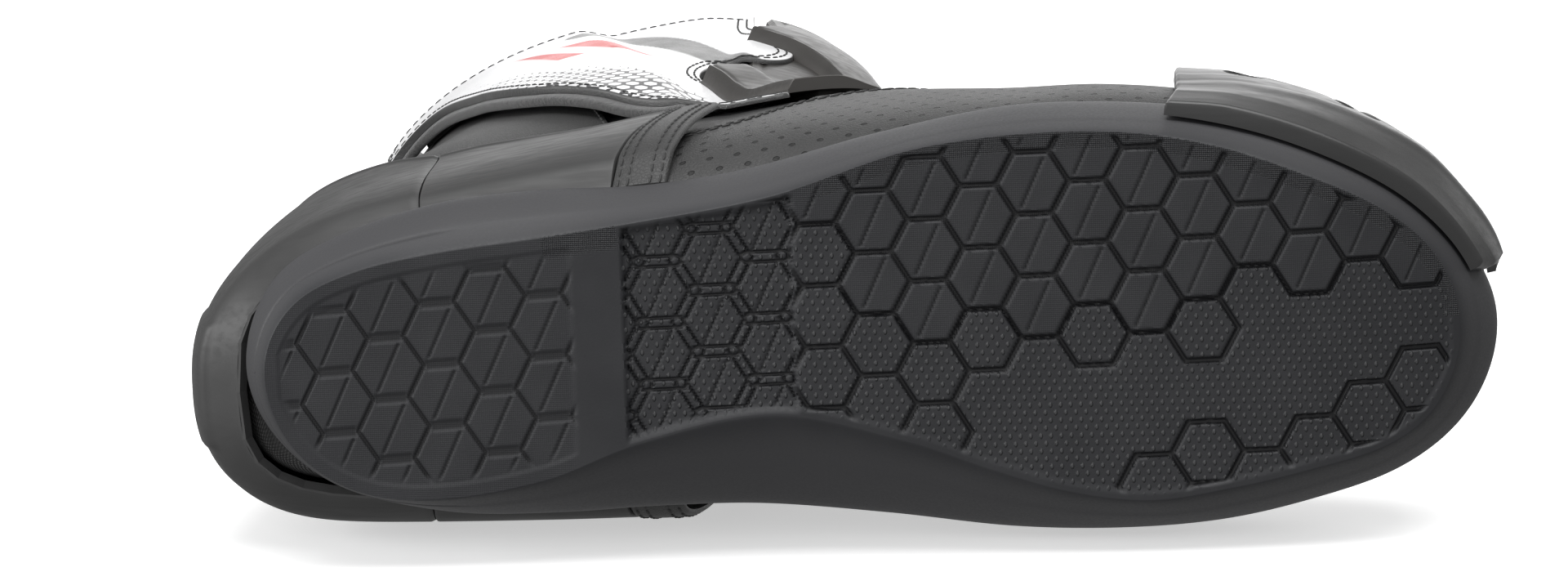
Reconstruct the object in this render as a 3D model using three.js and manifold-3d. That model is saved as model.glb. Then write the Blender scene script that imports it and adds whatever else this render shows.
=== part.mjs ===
// A right-foot road-riding boot, standing on its sole, in millimetres.
// +X is the toe, +Y the inner (medial) side, -Y the outer (lateral) side, +Z up.
// Every panel is drafted in side view, as x and z, and laid on one skin that the whole upper shares.

import * as THREE from "three";
import { mergeVertices } from "three/addons/utils/BufferGeometryUtils.js";
import Module from "manifold-3d";

const wasm = await Module();
wasm.setup();

// ---------- Driving dimensions ----------
const bootLength = 320; // from the back of the heel counter to the toe slider
const bootWidth = 106; // across the ball of the foot
const bootHeight = 288; // from the ground to the front of the collar
const ballSpring = 245; // x where the sole starts to rise towards the toe
const toeSpring = 9; // how far the toe end of the tread stands off the ground
const soleFloor = 9; // rubber under the foot
const soleWallHeight = 21; // top of the rubber wall round the foot
const soleWall = 4; // thickness of that wall
const midsoleThickness = 4;
const shankThickness = 1.2;
const boardThickness = 1.8;
const footbedThickness = 3.5;
const leather = 2.2; // main panels, measured inwards from the skin
const liningGap = 5; // foam between the skin and the foot lining
const liningThickness = 1.6;
const shaftFoam = 6.2; // padding between the skin and the lining of the leg
const collarFoam = 6.5; // thickness of the padded collar roll
const shellGap = 1; // outer shells stand this far off the panels under them
const counterThickness = 2.8;
const ankleGap = 1.6; // ankle panels off the skin, so that the leg panels can slide under them
const ankleShell = 2.2;
const strapThickness = 1.7;
const plateProud = 2.6; // shin plate and calf plate, above the skin
const puffThickness = 1.7;
const sliderThickness = 3;
const seam = 0.8; // gap between neighbouring panels
const fit = 0.3; // gap between pieces that rest on each other
const facetGap = 0.9; // the same between curved pieces whose facets don't line up
const ankleX = 85; // axis of the ankle joint, in side view
const ankleZ = 105;
const quarterRadius = 60; // top edge of the foot panels, about the ankle axis
const legTuck = 1.3; // the leg panels dip this far where they slide under the ankle panels
const zipLow = [103, 98]; // ends of the zip, in side view
const zipHigh = [64, 259];
const zipTape = 7; // width of each tape
const zipTapeThickness = 1.1;
const zipGap = 1.2; // between the two tapes
const sliderBody = [8.4, 12, 2.4]; // zip slider: across, along and off the tape
const pullTab = [5, 11, 1]; // across, along and thick
const flapThickness = 2.6;
const flapLift = 4.6; // inner face of the flap above the skin, over the zip
const hingeLift = 1.8; // the same at its sewn edge
const padThickness = 1.4; // each half of the hook and loop closure
const screwHead = 4; // radius
const screwHeadHeight = 1.6;
const screwShank = 2; // radius
const screwLength = 12;
const screwClearance = 0.3;
const nutPlate = [14, 14, 2];
const nutGap = 3.6; // from the toe puff to the nut plate, which is flat behind a curved wall

// The drafting below is for a boot of 320 x 106 x 288; other sizes stretch it.
const stretchX = bootLength / 320;
const stretchY = bootWidth / 106;
const stretchZ = bootHeight / 288;

const LATERAL = -1;
const MEDIAL = 1;

// ---------- The skin ----------
// Sections from the toe tip, back along the foot, fanning round the heel and up the leg. Each row:
// front ridge x, z, y; back ridge x, z, y; half width; roundness at the front and at the back.
// The front ridge is the top of the foot and the shin, the back ridge the sole, heel and calf.
const SECTIONS = [
  [305.8, 31, 9, 305.8, 25, 9, 2, 2, 2],
  [302, 43, 9, 302, 17, 9, 17, 2.1, 2.4],
  [295, 50, 9, 295, 13, 9, 27, 2.2, 2.8],
  [283, 57, 8, 283, 11, 8, 37, 2.3, 3.1],
  [262, 64, 6.5, 262, 10, 6.5, 45.5, 2.3, 3.3],
  [238, 73, 6, 238, 10, 6, 50.5, 2.3, 3.3],
  [216, 86, 7, 212, 10, 6, 52.5, 2.3, 3.3],
  [196, 104, 7, 184, 10, 6, 50.7, 2.3, 3.5],
  [181, 124, 6, 152, 11, 6.2, 48.7, 2.3, 3.4],
  [172, 142, 4.5, 112, 12, 8.3, 46.5, 2.4, 3.4],
  [167, 153, 3, 62, 12, 12.5, 43.3, 2.5, 3.6],
  [164.5, 161, 2, 14.5, 16, 17.3, 39.7, 2.5, 3.5],
  [163, 168, 1.5, -2.3, 32, 20.5, 40, 2.5, 2.8],
  [162, 175, 1, -5.5, 55, 20, 41.2, 2.5, 2.4],
  [161, 183, 0, -4, 80, 18.8, 41, 2.5, 2.3],
  [160, 193, -1, 5, 107, 18.4, 41, 2.5, 2.3],
  [158.5, 206, -1.5, 13, 136, 18.2, 41.4, 2.4, 2.3],
  [157, 224, -2, 18, 168, 18.5, 42, 2.3, 2.2],
  [155, 246, -2, 19, 204, 20, 43, 2.3, 2.2],
  [152, 268, -1.5, 18, 236, 21, 43, 2.2, 2.2],
  [148, 288, -1, 15, 264, 22, 43, 2.2, 2.2],
].map(([fx, fz, fy, bx, bz, by, half, front, back]) => [
  fx * stretchX,
  fz * stretchZ,
  fy * stretchY,
  bx * stretchX,
  bz * stretchZ,
  by * stretchY,
  half * stretchY,
  front,
  back,
]);
const COLLAR = SECTIONS.length - 1;

// One column of SECTIONS at s, where whole numbers are the rows.
function column(k, s) {
  const i = Math.min(Math.max(Math.floor(s), 0), COLLAR - 1);
  const t = s - i;
  const at = (n) => SECTIONS[Math.min(Math.max(n, 0), COLLAR)][k];
  const [a, b, c, d] = [at(i - 1), at(i), at(i + 1), at(i + 2)];
  return b + 0.5 * t * (c - a + t * (2 * a - 5 * b + 4 * c - d + t * (3 * (b - c) + d - a)));
}

// A point of the skin: s along SECTIONS, angle 0 on the front ridge and pi on the back ridge.
function skinPoint(s, angle) {
  const cos = Math.cos(angle);
  const sin = Math.sin(angle);
  const power = column(cos > 0 ? 7 : 8, s);
  const reach = (Math.abs(cos) ** power + Math.abs(sin) ** power) ** (-1 / power);
  const a = (1 + cos * reach) / 2;
  const mix = (front, back) => column(back, s) + (column(front, s) - column(back, s)) * a;
  return new THREE.Vector3(mix(0, 3), mix(2, 5) + column(6, s) * sin * reach, mix(1, 4));
}

function skinNormal(s, angle) {
  const e = 0.004;
  const s0 = Math.max(s - e, 0);
  const s1 = Math.min(s + e, COLLAR);
  const along = skinPoint(s1, angle).sub(skinPoint(s0, angle));
  const round = skinPoint(s, angle + e).sub(skinPoint(s, angle - e));
  return round.cross(along).normalize();
}

// The skin under a side-view point, raised by lift.
function skin([x, z], side, lift = 0) {
  let low = 0;
  let high = COLLAR;
  for (let n = 0; n < 26; n++) {
    const s = (low + high) / 2;
    const dx = column(0, s) - column(3, s);
    const dz = column(1, s) - column(4, s);
    const ahead = (x - column(3, s)) * dz - (z - column(4, s)) * dx;
    if (ahead < 0) low = s;
    else high = s;
  }
  const s = (low + high) / 2;
  const dx = column(0, s) - column(3, s);
  const dz = column(1, s) - column(4, s);
  const share = ((x - column(3, s)) * dx + (z - column(4, s)) * dz) / (dx * dx + dz * dz);
  const a = Math.min(Math.max(2 * share - 1, -1), 1);
  const power = column(a > 0 ? 7 : 8, s);
  const b = (1 - Math.abs(a) ** power) ** (1 / power);
  const angle = side * Math.atan2(b, a);
  return skinPoint(s, angle).addScaledVector(skinNormal(s, angle), lift);
}

const frontRidge = (s) => [column(0, s), column(1, s)];
const backRidge = (s) => [column(3, s), column(4, s)];

// ---------- Drafting in side view ----------
const draft = ([x, z]) => [x * stretchX, z * stretchZ];
const mixPoint = (p, q, t) => p.map((value, k) => value + (q[k] - value) * t);

// A smooth line through drafted points, as a function of 0 to 1.
function line(...points) {
  const curve = new THREE.SplineCurve(points.map((p) => new THREE.Vector2(...draft(p))));
  return (t) => curve.getPoint(t).toArray();
}

// A ridge between two sections, as a function of 0 to 1.
const ridgeLine = (ridge, from, to) => (t) => ridge(from + (to - from) * t);

// An arc about the ankle axis, in degrees from straight ahead, up being positive.
function ankleArc(radius, from, to) {
  return (t) => {
    const angle = THREE.MathUtils.degToRad(from + (to - from) * t);
    return [
      ankleX * stretchX + radius * stretchX * Math.cos(angle),
      ankleZ * stretchZ + radius * stretchZ * Math.sin(angle),
    ];
  };
}

// A line along the top of the rubber wall, raised by lift.
const wallLine = (from, to, lift) => (t) => {
  const x = (from + (to - from) * t) * stretchX;
  return [x, wallTop(x) + lift];
};
const featherLift = 0.8; // the main panels start just above the rubber wall
const shellLift = 4.6; // the outer shells bulge, so they start a little higher
const feather = (from, to) => wallLine(from, to, featherLift);

// ---------- Solids ----------
function geometryOf(vertices, faces) {
  const g = new THREE.BufferGeometry();
  g.setAttribute("position", new THREE.Float32BufferAttribute(vertices.flatMap((p) => p.toArray()), 3));
  let volume = 0;
  for (const [a, b, c] of faces) {
    volume += vertices[a].dot(new THREE.Vector3().crossVectors(vertices[b], vertices[c]));
  }
  g.setIndex(faces.flatMap(([a, b, c]) => (volume < 0 ? [a, c, b] : [a, b, c])));
  return g;
}

// A closed sheet between two grids of points of the same size.
function sheet(outer, inner) {
  const rows = outer.length;
  const cols = outer[0].length;
  const at = (layer, i, j) => (layer * rows + i) * cols + j;
  const faces = [];
  const quad = (a, b, c, d) => faces.push([a, b, c], [a, c, d]);
  for (let i = 0; i + 1 < rows; i++) {
    for (let j = 0; j + 1 < cols; j++) {
      quad(at(0, i, j), at(0, i + 1, j), at(0, i + 1, j + 1), at(0, i, j + 1));
      quad(at(1, i, j), at(1, i, j + 1), at(1, i + 1, j + 1), at(1, i + 1, j));
    }
    quad(at(0, i + 1, 0), at(0, i, 0), at(1, i, 0), at(1, i + 1, 0));
    quad(at(0, i, cols - 1), at(0, i + 1, cols - 1), at(1, i + 1, cols - 1), at(1, i, cols - 1));
  }
  for (let j = 0; j + 1 < cols; j++) {
    quad(at(0, 0, j), at(0, 0, j + 1), at(1, 0, j + 1), at(1, 0, j));
    quad(at(0, rows - 1, j + 1), at(0, rows - 1, j), at(1, rows - 1, j), at(1, rows - 1, j + 1));
  }
  return geometryOf([...outer.flat(), ...inner.flat()], faces);
}

function grid(rows, cols, at) {
  return Array.from({ length: rows + 1 }, (_, i) =>
    Array.from({ length: cols + 1 }, (_, j) => at(i / rows, j / cols)),
  );
}

// A panel on one side inside four drafted lines. bottom and top run back to front, rear and front
// run upwards. lift is [inner, outer], each a function of the share ahead and the share up.
function patch(bottom, top, rear, front, side, lift, rows, cols) {
  const inside = (ahead, up) => {
    const across = mixPoint(bottom(ahead), top(ahead), up);
    const upwards = mixPoint(rear(up), front(up), ahead);
    const low = mixPoint(bottom(0), bottom(1), ahead);
    const high = mixPoint(top(0), top(1), ahead);
    const corners = mixPoint(low, high, up);
    return across.map((value, k) => value + upwards[k] - corners[k]);
  };
  const face = (d) => grid(rows, cols, (up, ahead) => skin(inside(ahead, up), side, d(ahead, up)));
  return sheet(face(lift[1]), face(lift[0]));
}

// A panel on one side, from a low line to a high line. lift is [inner, outer].
function panel(low, high, side, lift, rows, cols) {
  const face = (d) => grid(rows, cols, (u, v) => skin(mixPoint(low(u), high(u), v), side, d));
  return sheet(face(lift[1]), face(lift[0]));
}

// A panel on one side that ends on the front ridge, with half a seam left there.
function ridgePanel(low, high, side, lift, rows, cols) {
  const face = (d) => grid(rows, cols, (u, v) => {
    const p = skin(mixPoint(low(u), high(u), Math.sin((v * Math.PI) / 2)), side, d);
    if (v === 1) p.y += (side * seam) / 2;
    return p;
  });
  return sheet(face(lift[1]), face(lift[0]));
}

// A panel that wraps a ridge, with the same drafted edge on both sides.
function wrap(edge, ridge, lift, rows, cols) {
  const face = (d) => grid(rows, cols, (u, v) => {
    const p = mixPoint(edge(u), ridge(u), Math.sin(v * Math.PI));
    return skin(p, v < 0.5 ? LATERAL : MEDIAL, d);
  });
  return sheet(face(lift[1]), face(lift[0]));
}

// ---------- The sole ----------
// How far the sole stands off the ground at x.
function rise(x) {
  const start = ballSpring * stretchX;
  const end = 306.5 * stretchX;
  return x < start ? 0 : toeSpring * ((x - start) / (end - start)) ** 2;
}

// Plan outlines: x, lateral y and medial y. The first and last rows are the two ends.
const TREAD = [
  [14, 11, 11],
  [22, -6, 31],
  [36, -13, 40],
  [55, -17, 42],
  [80, -20, 38],
  [102, -23, 30],
  [135, -28.5, 24],
  [166, -38, 31],
  [185, -41, 38],
  [204, -42, 44],
  [223, -41, 46.5],
  [242, -37, 44],
  [261, -30, 40],
  [279, -21, 35],
  [290, -11, 27],
  [296.5, 8, 8],
];
const WALL = [
  [7, 12, 12],
  [15, -9, 31],
  [30, -18.5, 42],
  [55, -26, 49],
  [80, -28.5, 50],
  [105, -29, 49],
  [130, -32.5, 49],
  [160, -40, 52],
  [190, -45.5, 56],
  [215, -46, 57],
  [240, -43.5, 55.5],
  [262, -37.5, 51],
  [283, -26, 44],
  [298, -11, 32.5],
  [306.5, 10, 10],
];

// An outline at t from heel to toe, moved inwards by inset.
function outline(table, t, side, inset = 0) {
  const x0 = table[0][0];
  const x1 = table[table.length - 1][0];
  const place = (x) => Math.acos(1 - (2 * (x - x0)) / (x1 - x0)) / Math.PI;
  const k = side === LATERAL ? 1 : 2;
  const last = table.length - 1;
  let i = 0;
  while (i < last - 1 && place(table[i + 1][0]) < t) i++;
  const knot = (n) => {
    const m = Math.min(Math.max(n, 0), last);
    return [place(table[m][0]), table[m][k]];
  };
  const [p, q, r, w] = [knot(i - 1), knot(i), knot(i + 1), knot(i + 2)];
  const span = r[0] - q[0];
  const slopeAt = (a, b) => (b[0] === a[0] ? 0 : ((b[1] - a[1]) / (b[0] - a[0])) * span);
  const h = (t - q[0]) / span;
  const m0 = i === 0 ? slopeAt(q, r) : slopeAt(p, r);
  const m1 = i === last - 1 ? slopeAt(q, r) : slopeAt(q, w);
  const y = q[1] * (1 + 2 * h) * (1 - h) ** 2 + m0 * h * (1 - h) ** 2
    + r[1] * h * h * (3 - 2 * h) + m1 * h * h * (h - 1);
  const shrinkX = 1 - (2 * inset) / ((x1 - x0) * stretchX);
  const x = (x0 + x1) / 2 - ((x1 - x0) / 2) * Math.cos(Math.PI * t) * shrinkX;
  const fade = Math.min(1.2 * Math.sqrt(Math.abs(Math.sin(Math.PI * t))), 1); // none at the two ends
  return [x * stretchX, y * stretchY - side * inset * fade];
}

// A ring round an outline, heel to toe on the lateral side and back on the medial side.
function ring(outlineAt, heightAt, steps) {
  const points = [];
  for (let i = 0; i <= steps; i++) points.push([...outlineAt(i / steps, LATERAL)]);
  for (let i = steps - 1; i > 0; i--) points.push([...outlineAt(i / steps, MEDIAL)]);
  return points.map(([x, y]) => new THREE.Vector3(x, y, heightAt(x)));
}

// A solid through a stack of rings, closed across its first and last ring.
function stack(rings, steps) {
  const count = rings[0].length;
  const faces = [];
  for (let k = 0; k + 1 < rings.length; k++) {
    for (let i = 0; i < count; i++) {
      const a = k * count + i;
      const b = k * count + ((i + 1) % count);
      faces.push([a, b, b + count], [a, b + count, a + count]);
    }
  }
  const cap = (base, flip) => {
    const left = (i) => base + i;
    const right = (i) => base + (i === 0 || i === steps ? i : count - i);
    const add = (a, b, c) => faces.push(flip ? [a, c, b] : [a, b, c]);
    for (let i = 0; i < steps; i++) {
      if (i + 1 < steps) add(left(i + 1), left(i), right(i + 1));
      if (i > 0) add(left(i), right(i), i + 1 < steps ? right(i + 1) : left(i + 1));
    }
  };
  cap(0, false);
  cap((rings.length - 1) * count, true);
  return geometryOf(rings.flat(), faces);
}

const SOLE_STEPS = 34;
const floorShare = 0.5; // where the floor of the sole meets its wall
const wallTop = (x) => soleWallHeight + 0.4 * rise(x);

// The plan outline of the sole between its tread, at share 0, and the top of its wall, at share 1.
const soleEdge = (share, inset) => (t, side) =>
  mixPoint(outline(TREAD, t, side, inset), outline(WALL, t, side, inset), share);

function outsole() {
  const rings = [
    ring(soleEdge(0, 0), (x) => rise(x), SOLE_STEPS),
    ring(soleEdge(0.16, 0), (x) => rise(x) + 2, SOLE_STEPS),
    ring(soleEdge(1, 0), (x) => wallTop(x) - 2, SOLE_STEPS),
    ring(soleEdge(1, 1), wallTop, SOLE_STEPS),
    ring(soleEdge(1, soleWall), (x) => wallTop(x) - 0.4, SOLE_STEPS),
    ring(soleEdge(floorShare, soleWall - 1), (x) => soleFloor + rise(x), SOLE_STEPS),
  ];
  return stack(rings, SOLE_STEPS);
}

// A flat layer inside the sole, following its toe spring.
function flatLayer(edge, bottom, thickness) {
  const steps = 20;
  const rings = [bottom, bottom + thickness].map((z) =>
    ring(edge, (x) => z + rise(x), steps),
  );
  return stack(rings, steps);
}

const midsoleBottom = soleFloor + facetGap;
const shankBottom = midsoleBottom + midsoleThickness + fit;
const boardBottom = shankBottom + shankThickness + fit;
const footbedBottom = boardBottom + boardThickness + fit;
const midsoleInset = soleWall + 0.5;
const boardShare = 0.75;
const boardInset = soleWall + 2.5;
const footbedInset = soleWall + 3.8;
const footbedToe = 8; // the footbed is this much narrower at the toe, where the upper closes over it

function shank() {
  const shape = new THREE.Shape();
  const halfLength = 62 * stretchX;
  const halfWidth = 9;
  shape.absarc(halfLength, 0, halfWidth, -Math.PI / 2, Math.PI / 2, false);
  shape.absarc(-halfLength, 0, halfWidth, Math.PI / 2, (3 * Math.PI) / 2, false);
  const g = new THREE.ExtrudeGeometry(shape, {
    depth: shankThickness,
    bevelEnabled: false,
    curveSegments: 8,
  });
  return g.rotateZ(-0.05).translate(118 * stretchX, 10 * stretchY, shankBottom);
}

// ---------- Cutting holes ----------
function solidOf(geometry) {
  const g = geometry.clone();
  g.deleteAttribute("normal");
  g.deleteAttribute("uv");
  const merged = mergeVertices(g, 1e-3);
  return new wasm.Manifold(
    new wasm.Mesh({
      numProp: 3,
      vertProperties: new Float32Array(merged.attributes.position.array),
      triVerts: new Uint32Array(merged.index.array),
    }),
  );
}

function cut(geometry, ...tools) {
  const solid = tools.reduce((left, tool) => left.subtract(solidOf(tool)), solidOf(geometry));
  const mesh = solid.getMesh();
  const g = new THREE.BufferGeometry();
  g.setAttribute("position", new THREE.BufferAttribute(new Float32Array(mesh.vertProperties), 3));
  g.setIndex(new THREE.BufferAttribute(new Uint32Array(mesh.triVerts), 1));
  return g;
}

// ---------- Toe slider and its screws ----------
const sliderFrom = 231;
const sliderTo = 303.5;
const sliderTop = line([228, 53], [243, 57], [262, 55], [284, 49], [303.5, 37]);

// A point outside the rubber wall: share 0 at the tread edge and 1 at the top of the wall.
function wallPoint(x, share, lift) {
  const t = Math.acos(1 - (2 * (x - WALL[0][0])) / (306.5 - WALL[0][0])) / Math.PI;
  const at = (n) => mixPoint(outline(TREAD, n, LATERAL), outline(WALL, n, LATERAL), share);
  const [x0, y0] = at(t - 0.002);
  const [x1, y1] = at(t + 0.002);
  const length = Math.hypot(x1 - x0, y1 - y0);
  const [px, py] = at(t);
  const z = rise(px) + 2 + (wallTop(px) - 4 - rise(px)) * ((share - 0.16) / 0.84);
  return new THREE.Vector3(px + ((y1 - y0) / length) * lift, py - ((x1 - x0) / length) * lift, z);
}

function sliderGrid(lift) {
  const rows = 7;
  const wallRows = 2; // the lowest rows cover the rubber wall
  return grid(12, rows, (u, v) => {
    const x = sliderFrom + (sliderTo - sliderFrom) * u;
    const row = Math.round(v * rows);
    if (row < wallRows) return wallPoint(x, 0.45 + 0.5 * row, lift);
    const low = wallTop(x * stretchX) + shellLift;
    const high = sliderTop(u)[1];
    const z = low + (high - low) * ((row - wallRows) / (rows - wallRows));
    return skin([x * stretchX, z], LATERAL, lift);
  });
}

// Screw positions in side view, and the frame of each: its axis points out of the boot.
const SCREWS = [
  ["front", [284, 39]],
  ["rear", [247, 42]],
];

function onSkin(point, lift) {
  const p = skin(draft(point), LATERAL, 0);
  const out = skin(draft(point), LATERAL, 1).sub(p);
  const turn = new THREE.Quaternion().setFromUnitVectors(new THREE.Vector3(0, 0, 1), out.normalize());
  return new THREE.Matrix4().compose(p.addScaledVector(out, lift), turn, new THREE.Vector3(1, 1, 1));
}

const sliderGap = 1.7; // the slider bridges the step from the rubber wall to the toe box
const screwSeat = sliderGap + sliderThickness - screwHeadHeight;

function turned(...profile) {
  return new THREE.LatheGeometry(profile.map(([r, z]) => new THREE.Vector2(r, z)), 16).rotateX(Math.PI / 2);
}

function screwProfile(gap) {
  const seat = -gap;
  return [
    [0, -screwLength - gap],
    [screwShank + gap, -screwLength - gap],
    [screwShank + gap, seat],
    [screwHead + gap, seat],
    [screwHead + gap, screwHeadHeight + gap * 12],
    [0, screwHeadHeight + gap * 12],
  ];
}

function screw() {
  const socket = 1.3;
  return turned(
    [0, -screwLength],
    [screwShank, -screwLength],
    [screwShank, 0],
    [screwHead, 0],
    [screwHead, screwHeadHeight * 0.6],
    [screwHead * 0.75, screwHeadHeight],
    [socket, screwHeadHeight],
    [socket, screwHeadHeight * 0.3],
    [0, screwHeadHeight * 0.3],
  );
}

const screwHoles = () => SCREWS.map(([, point]) =>
  turned(...screwProfile(screwClearance)).applyMatrix4(onSkin(point, screwSeat)),
);

function boxAt(matrix, [width, length, height], lift) {
  return new THREE.BoxGeometry(width, length, height).translate(0, 0, lift).applyMatrix4(matrix);
}

// ---------- Toe box: offset towards its middle, so the tip stays sound ----------
const toeMiddle = () => new THREE.Vector3(258 * stretchX, 7 * stretchY, 32 * stretchZ);

function toeShell(from, to, near, far, rows, cols) {
  const layerAt = (d) => grid(rows, cols, (u, v) => {
    const s = from + (to - from) * u;
    const x = column(0, s);
    const low = Math.max(wallTop(x) + featherLift, column(4, s) + 1);
    const p = mixPoint([x, low], frontRidge(s), Math.sin(v * Math.PI));
    const q = skin(p, v < 0.5 ? LATERAL : MEDIAL);
    const inwards = toeMiddle().sub(q);
    return q.addScaledVector(inwards.normalize(), d);
  });
  return sheet(layerAt(near), layerAt(far));
}

// ---------- The zip ----------
// The zip is straight, from zipLow to zipHigh. Its frame: across points to the toe, along points up
// the zip and out points away from the leg.
function zipFrame() {
  const low = skin(draft(zipLow), LATERAL, 0);
  const high = skin(draft(zipHigh), LATERAL, 0);
  const along = high.clone().sub(low);
  const length = along.length();
  along.normalize();
  const middle = draft(mixPoint(zipLow, zipHigh, 0.5));
  const out = skin(middle, LATERAL, 1).sub(skin(middle, LATERAL, 0));
  out.addScaledVector(along, -out.dot(along)).normalize();
  const across = new THREE.Vector3().crossVectors(along, out);
  return { matrix: new THREE.Matrix4().makeBasis(across, along, out).setPosition(low), length };
}

// A flat shape beside the zip, in its across and along, between two heights off the zip line.
function zipSolid(shape, bottom, top) {
  const g = new THREE.ExtrudeGeometry(shape, { depth: top - bottom, bevelEnabled: false, curveSegments: 6 });
  return g.translate(0, 0, bottom).applyMatrix4(zipFrame().matrix);
}

function rectangle(x0, x1, y0, y1) {
  return new THREE.Shape([[x0, y0], [x1, y0], [x1, y1], [x0, y1]].map((p) => new THREE.Vector2(...p)));
}

const tapeTop = -0.6; // face of the tapes, just under the leather beside them
const parkedGap = 1; // from the top of the zip to the parked slider

// The slider tapers to the closed side of the zip, below it.
function sliderShape() {
  const top = zipFrame().length - parkedGap;
  const half = sliderBody[0] / 2;
  const shape = new THREE.Shape();
  shape.moveTo(-half * 0.6, top - sliderBody[1]);
  shape.lineTo(half * 0.6, top - sliderBody[1]);
  shape.lineTo(half, top - sliderBody[1] * 0.5);
  shape.quadraticCurveTo(half, top, 0, top);
  shape.quadraticCurveTo(-half, top, -half, top - sliderBody[1] * 0.5);
  return shape;
}

function pullShape() {
  const pivot = zipFrame().length - parkedGap - sliderBody[1] * 0.3;
  const half = pullTab[0] / 2;
  const end = pivot - pullTab[1];
  const shape = new THREE.Shape();
  shape.moveTo(-half, pivot);
  shape.lineTo(-half * 1.3, end + half);
  shape.quadraticCurveTo(-half * 1.3, end, 0, end);
  shape.quadraticCurveTo(half * 1.3, end, half * 1.3, end + half);
  shape.lineTo(half, pivot);
  return shape;
}

// ---------- Leg drafting ----------
// Both tapes need this much room each side of the zip line, measured level.
const zipRoom = zipTape + zipGap / 2 + 1.6;
const zipSide = (side, z) => {
  const slope = (zipHigh[0] - zipLow[0]) / (zipHigh[1] - zipLow[1]);
  return [zipLow[0] + slope * (z - zipLow[1]) + side * zipRoom, z];
};
const legTop = COLLAR - 0.28; // top edge of the leg panels, in sections
const plateLine = [[142.5, 113], [128, 132], [121.5, 160], [122, 210], [124, 250], [121, 280]];
const plateEdge = line(...plateLine);
const behindPlate = line([140, 98], ...plateLine.map(([x, z]) => [x - 1.3, z - 0.5]));
const legRear = line([31, 96], [25, 124], [29, 180], [29, 230], [27, 261]);
const calfEdge = line([23, 126], [26.5, 180], [26.5, 230], [24.5, 260]);
const throat = 107; // where the panels meet below the zip
const aheadOfZip = line([throat + seam, 61], [throat + seam, 84], ...[98, 150, 200, 252, 266].map((z) => zipSide(1, z)));
const behindZip = line([throat - seam, 61], [throat - seam, 84], ...[98, 150, 200, 252, 263].map((z) => zipSide(-1, z)));
const legBottomRear = [[31, 96], [46, 73], [65, 63], [85, 60]];
const legBottomFront = [[124, 70], [136, 84], [140, 98]];
const hingeX = 118.5; // sewn edge of the flap
const hingeLow = [hingeX, 104];
const hingeHigh = [hingeX, 272];
const flapBottom = line([24, 226], [38, 220], [60, 161], [82, 137], [102, 121], hingeLow);
const flapTop = line([24, 250], [50, 243], [72, 240], [90, 250], [106, 265], hingeHigh);

// ---------- The assembly ----------
const boot = new THREE.Group();
boot.name = "boot";

const rubber = { color: 0x2b2c30, roughness: 0.75 };
const foam = { color: 0x3a3a3c, roughness: 0.9 };
const microfibre = { color: 0x2c2c2d, roughness: 0.6 };
const moulded = { color: 0x3b3b3d, roughness: 0.45 };
const textile = { color: 0x1c1c1d, roughness: 0.95 };
const steel = { color: 0x9a9ca0, roughness: 0.35, metalness: 1 };
const printed = { color: 0xe9e9ea, roughness: 0.5 };

function add(name, geometry, finish) {
  const mesh = new THREE.Mesh(geometry, new THREE.MeshStandardMaterial(finish));
  mesh.name = name;
  boot.add(mesh);
}

const main = [-leather, 0];
const ridgePlate = [-leather, plateProud];
const BOTH = [[LATERAL, "lateral"], [MEDIAL, "medial"]];

function addSole() {
  add("outsole", outsole(), rubber);
  add("midsole", flatLayer(soleEdge(floorShare, midsoleInset), midsoleBottom, midsoleThickness), foam);
  add("steel_shank", shank(), steel);
  add("insole_board", flatLayer(soleEdge(boardShare, boardInset), boardBottom, boardThickness), textile);
  const inset = (t) => footbedInset + footbedToe * THREE.MathUtils.smoothstep(t, 0.55, 0.75);
  const footbedEdge = (t, side) => outline(WALL, t, side, inset(t));
  add("footbed", flatLayer(footbedEdge, footbedBottom, footbedThickness), textile);
}

function addToe() {
  const holes = screwHoles();
  const puff = leather + fit + 0.2;
  add("toe_box", cut(toeShell(0, 5.05, 0, leather, 9, 16), ...holes), microfibre);
  add("toe_puff", cut(toeShell(0.4, 4.2, puff, puff + puffThickness, 7, 14), ...holes), moulded);
  const slider = sheet(sliderGrid(sliderGap + sliderThickness), sliderGrid(sliderGap));
  add("toe_slider", cut(slider, ...holes), moulded);
  SCREWS.forEach(([place, point], i) => {
    add(`slider_screw_${place}`, screw().applyMatrix4(onSkin(point, screwSeat)), steel);
    const below = leather + puffThickness + nutGap + nutPlate[2] / 2;
    const plate = boxAt(onSkin(point, 0), nutPlate, -below);
    add(`slider_nut_plate_${place}`, cut(plate, holes[i]), steel);
  });
}

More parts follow.
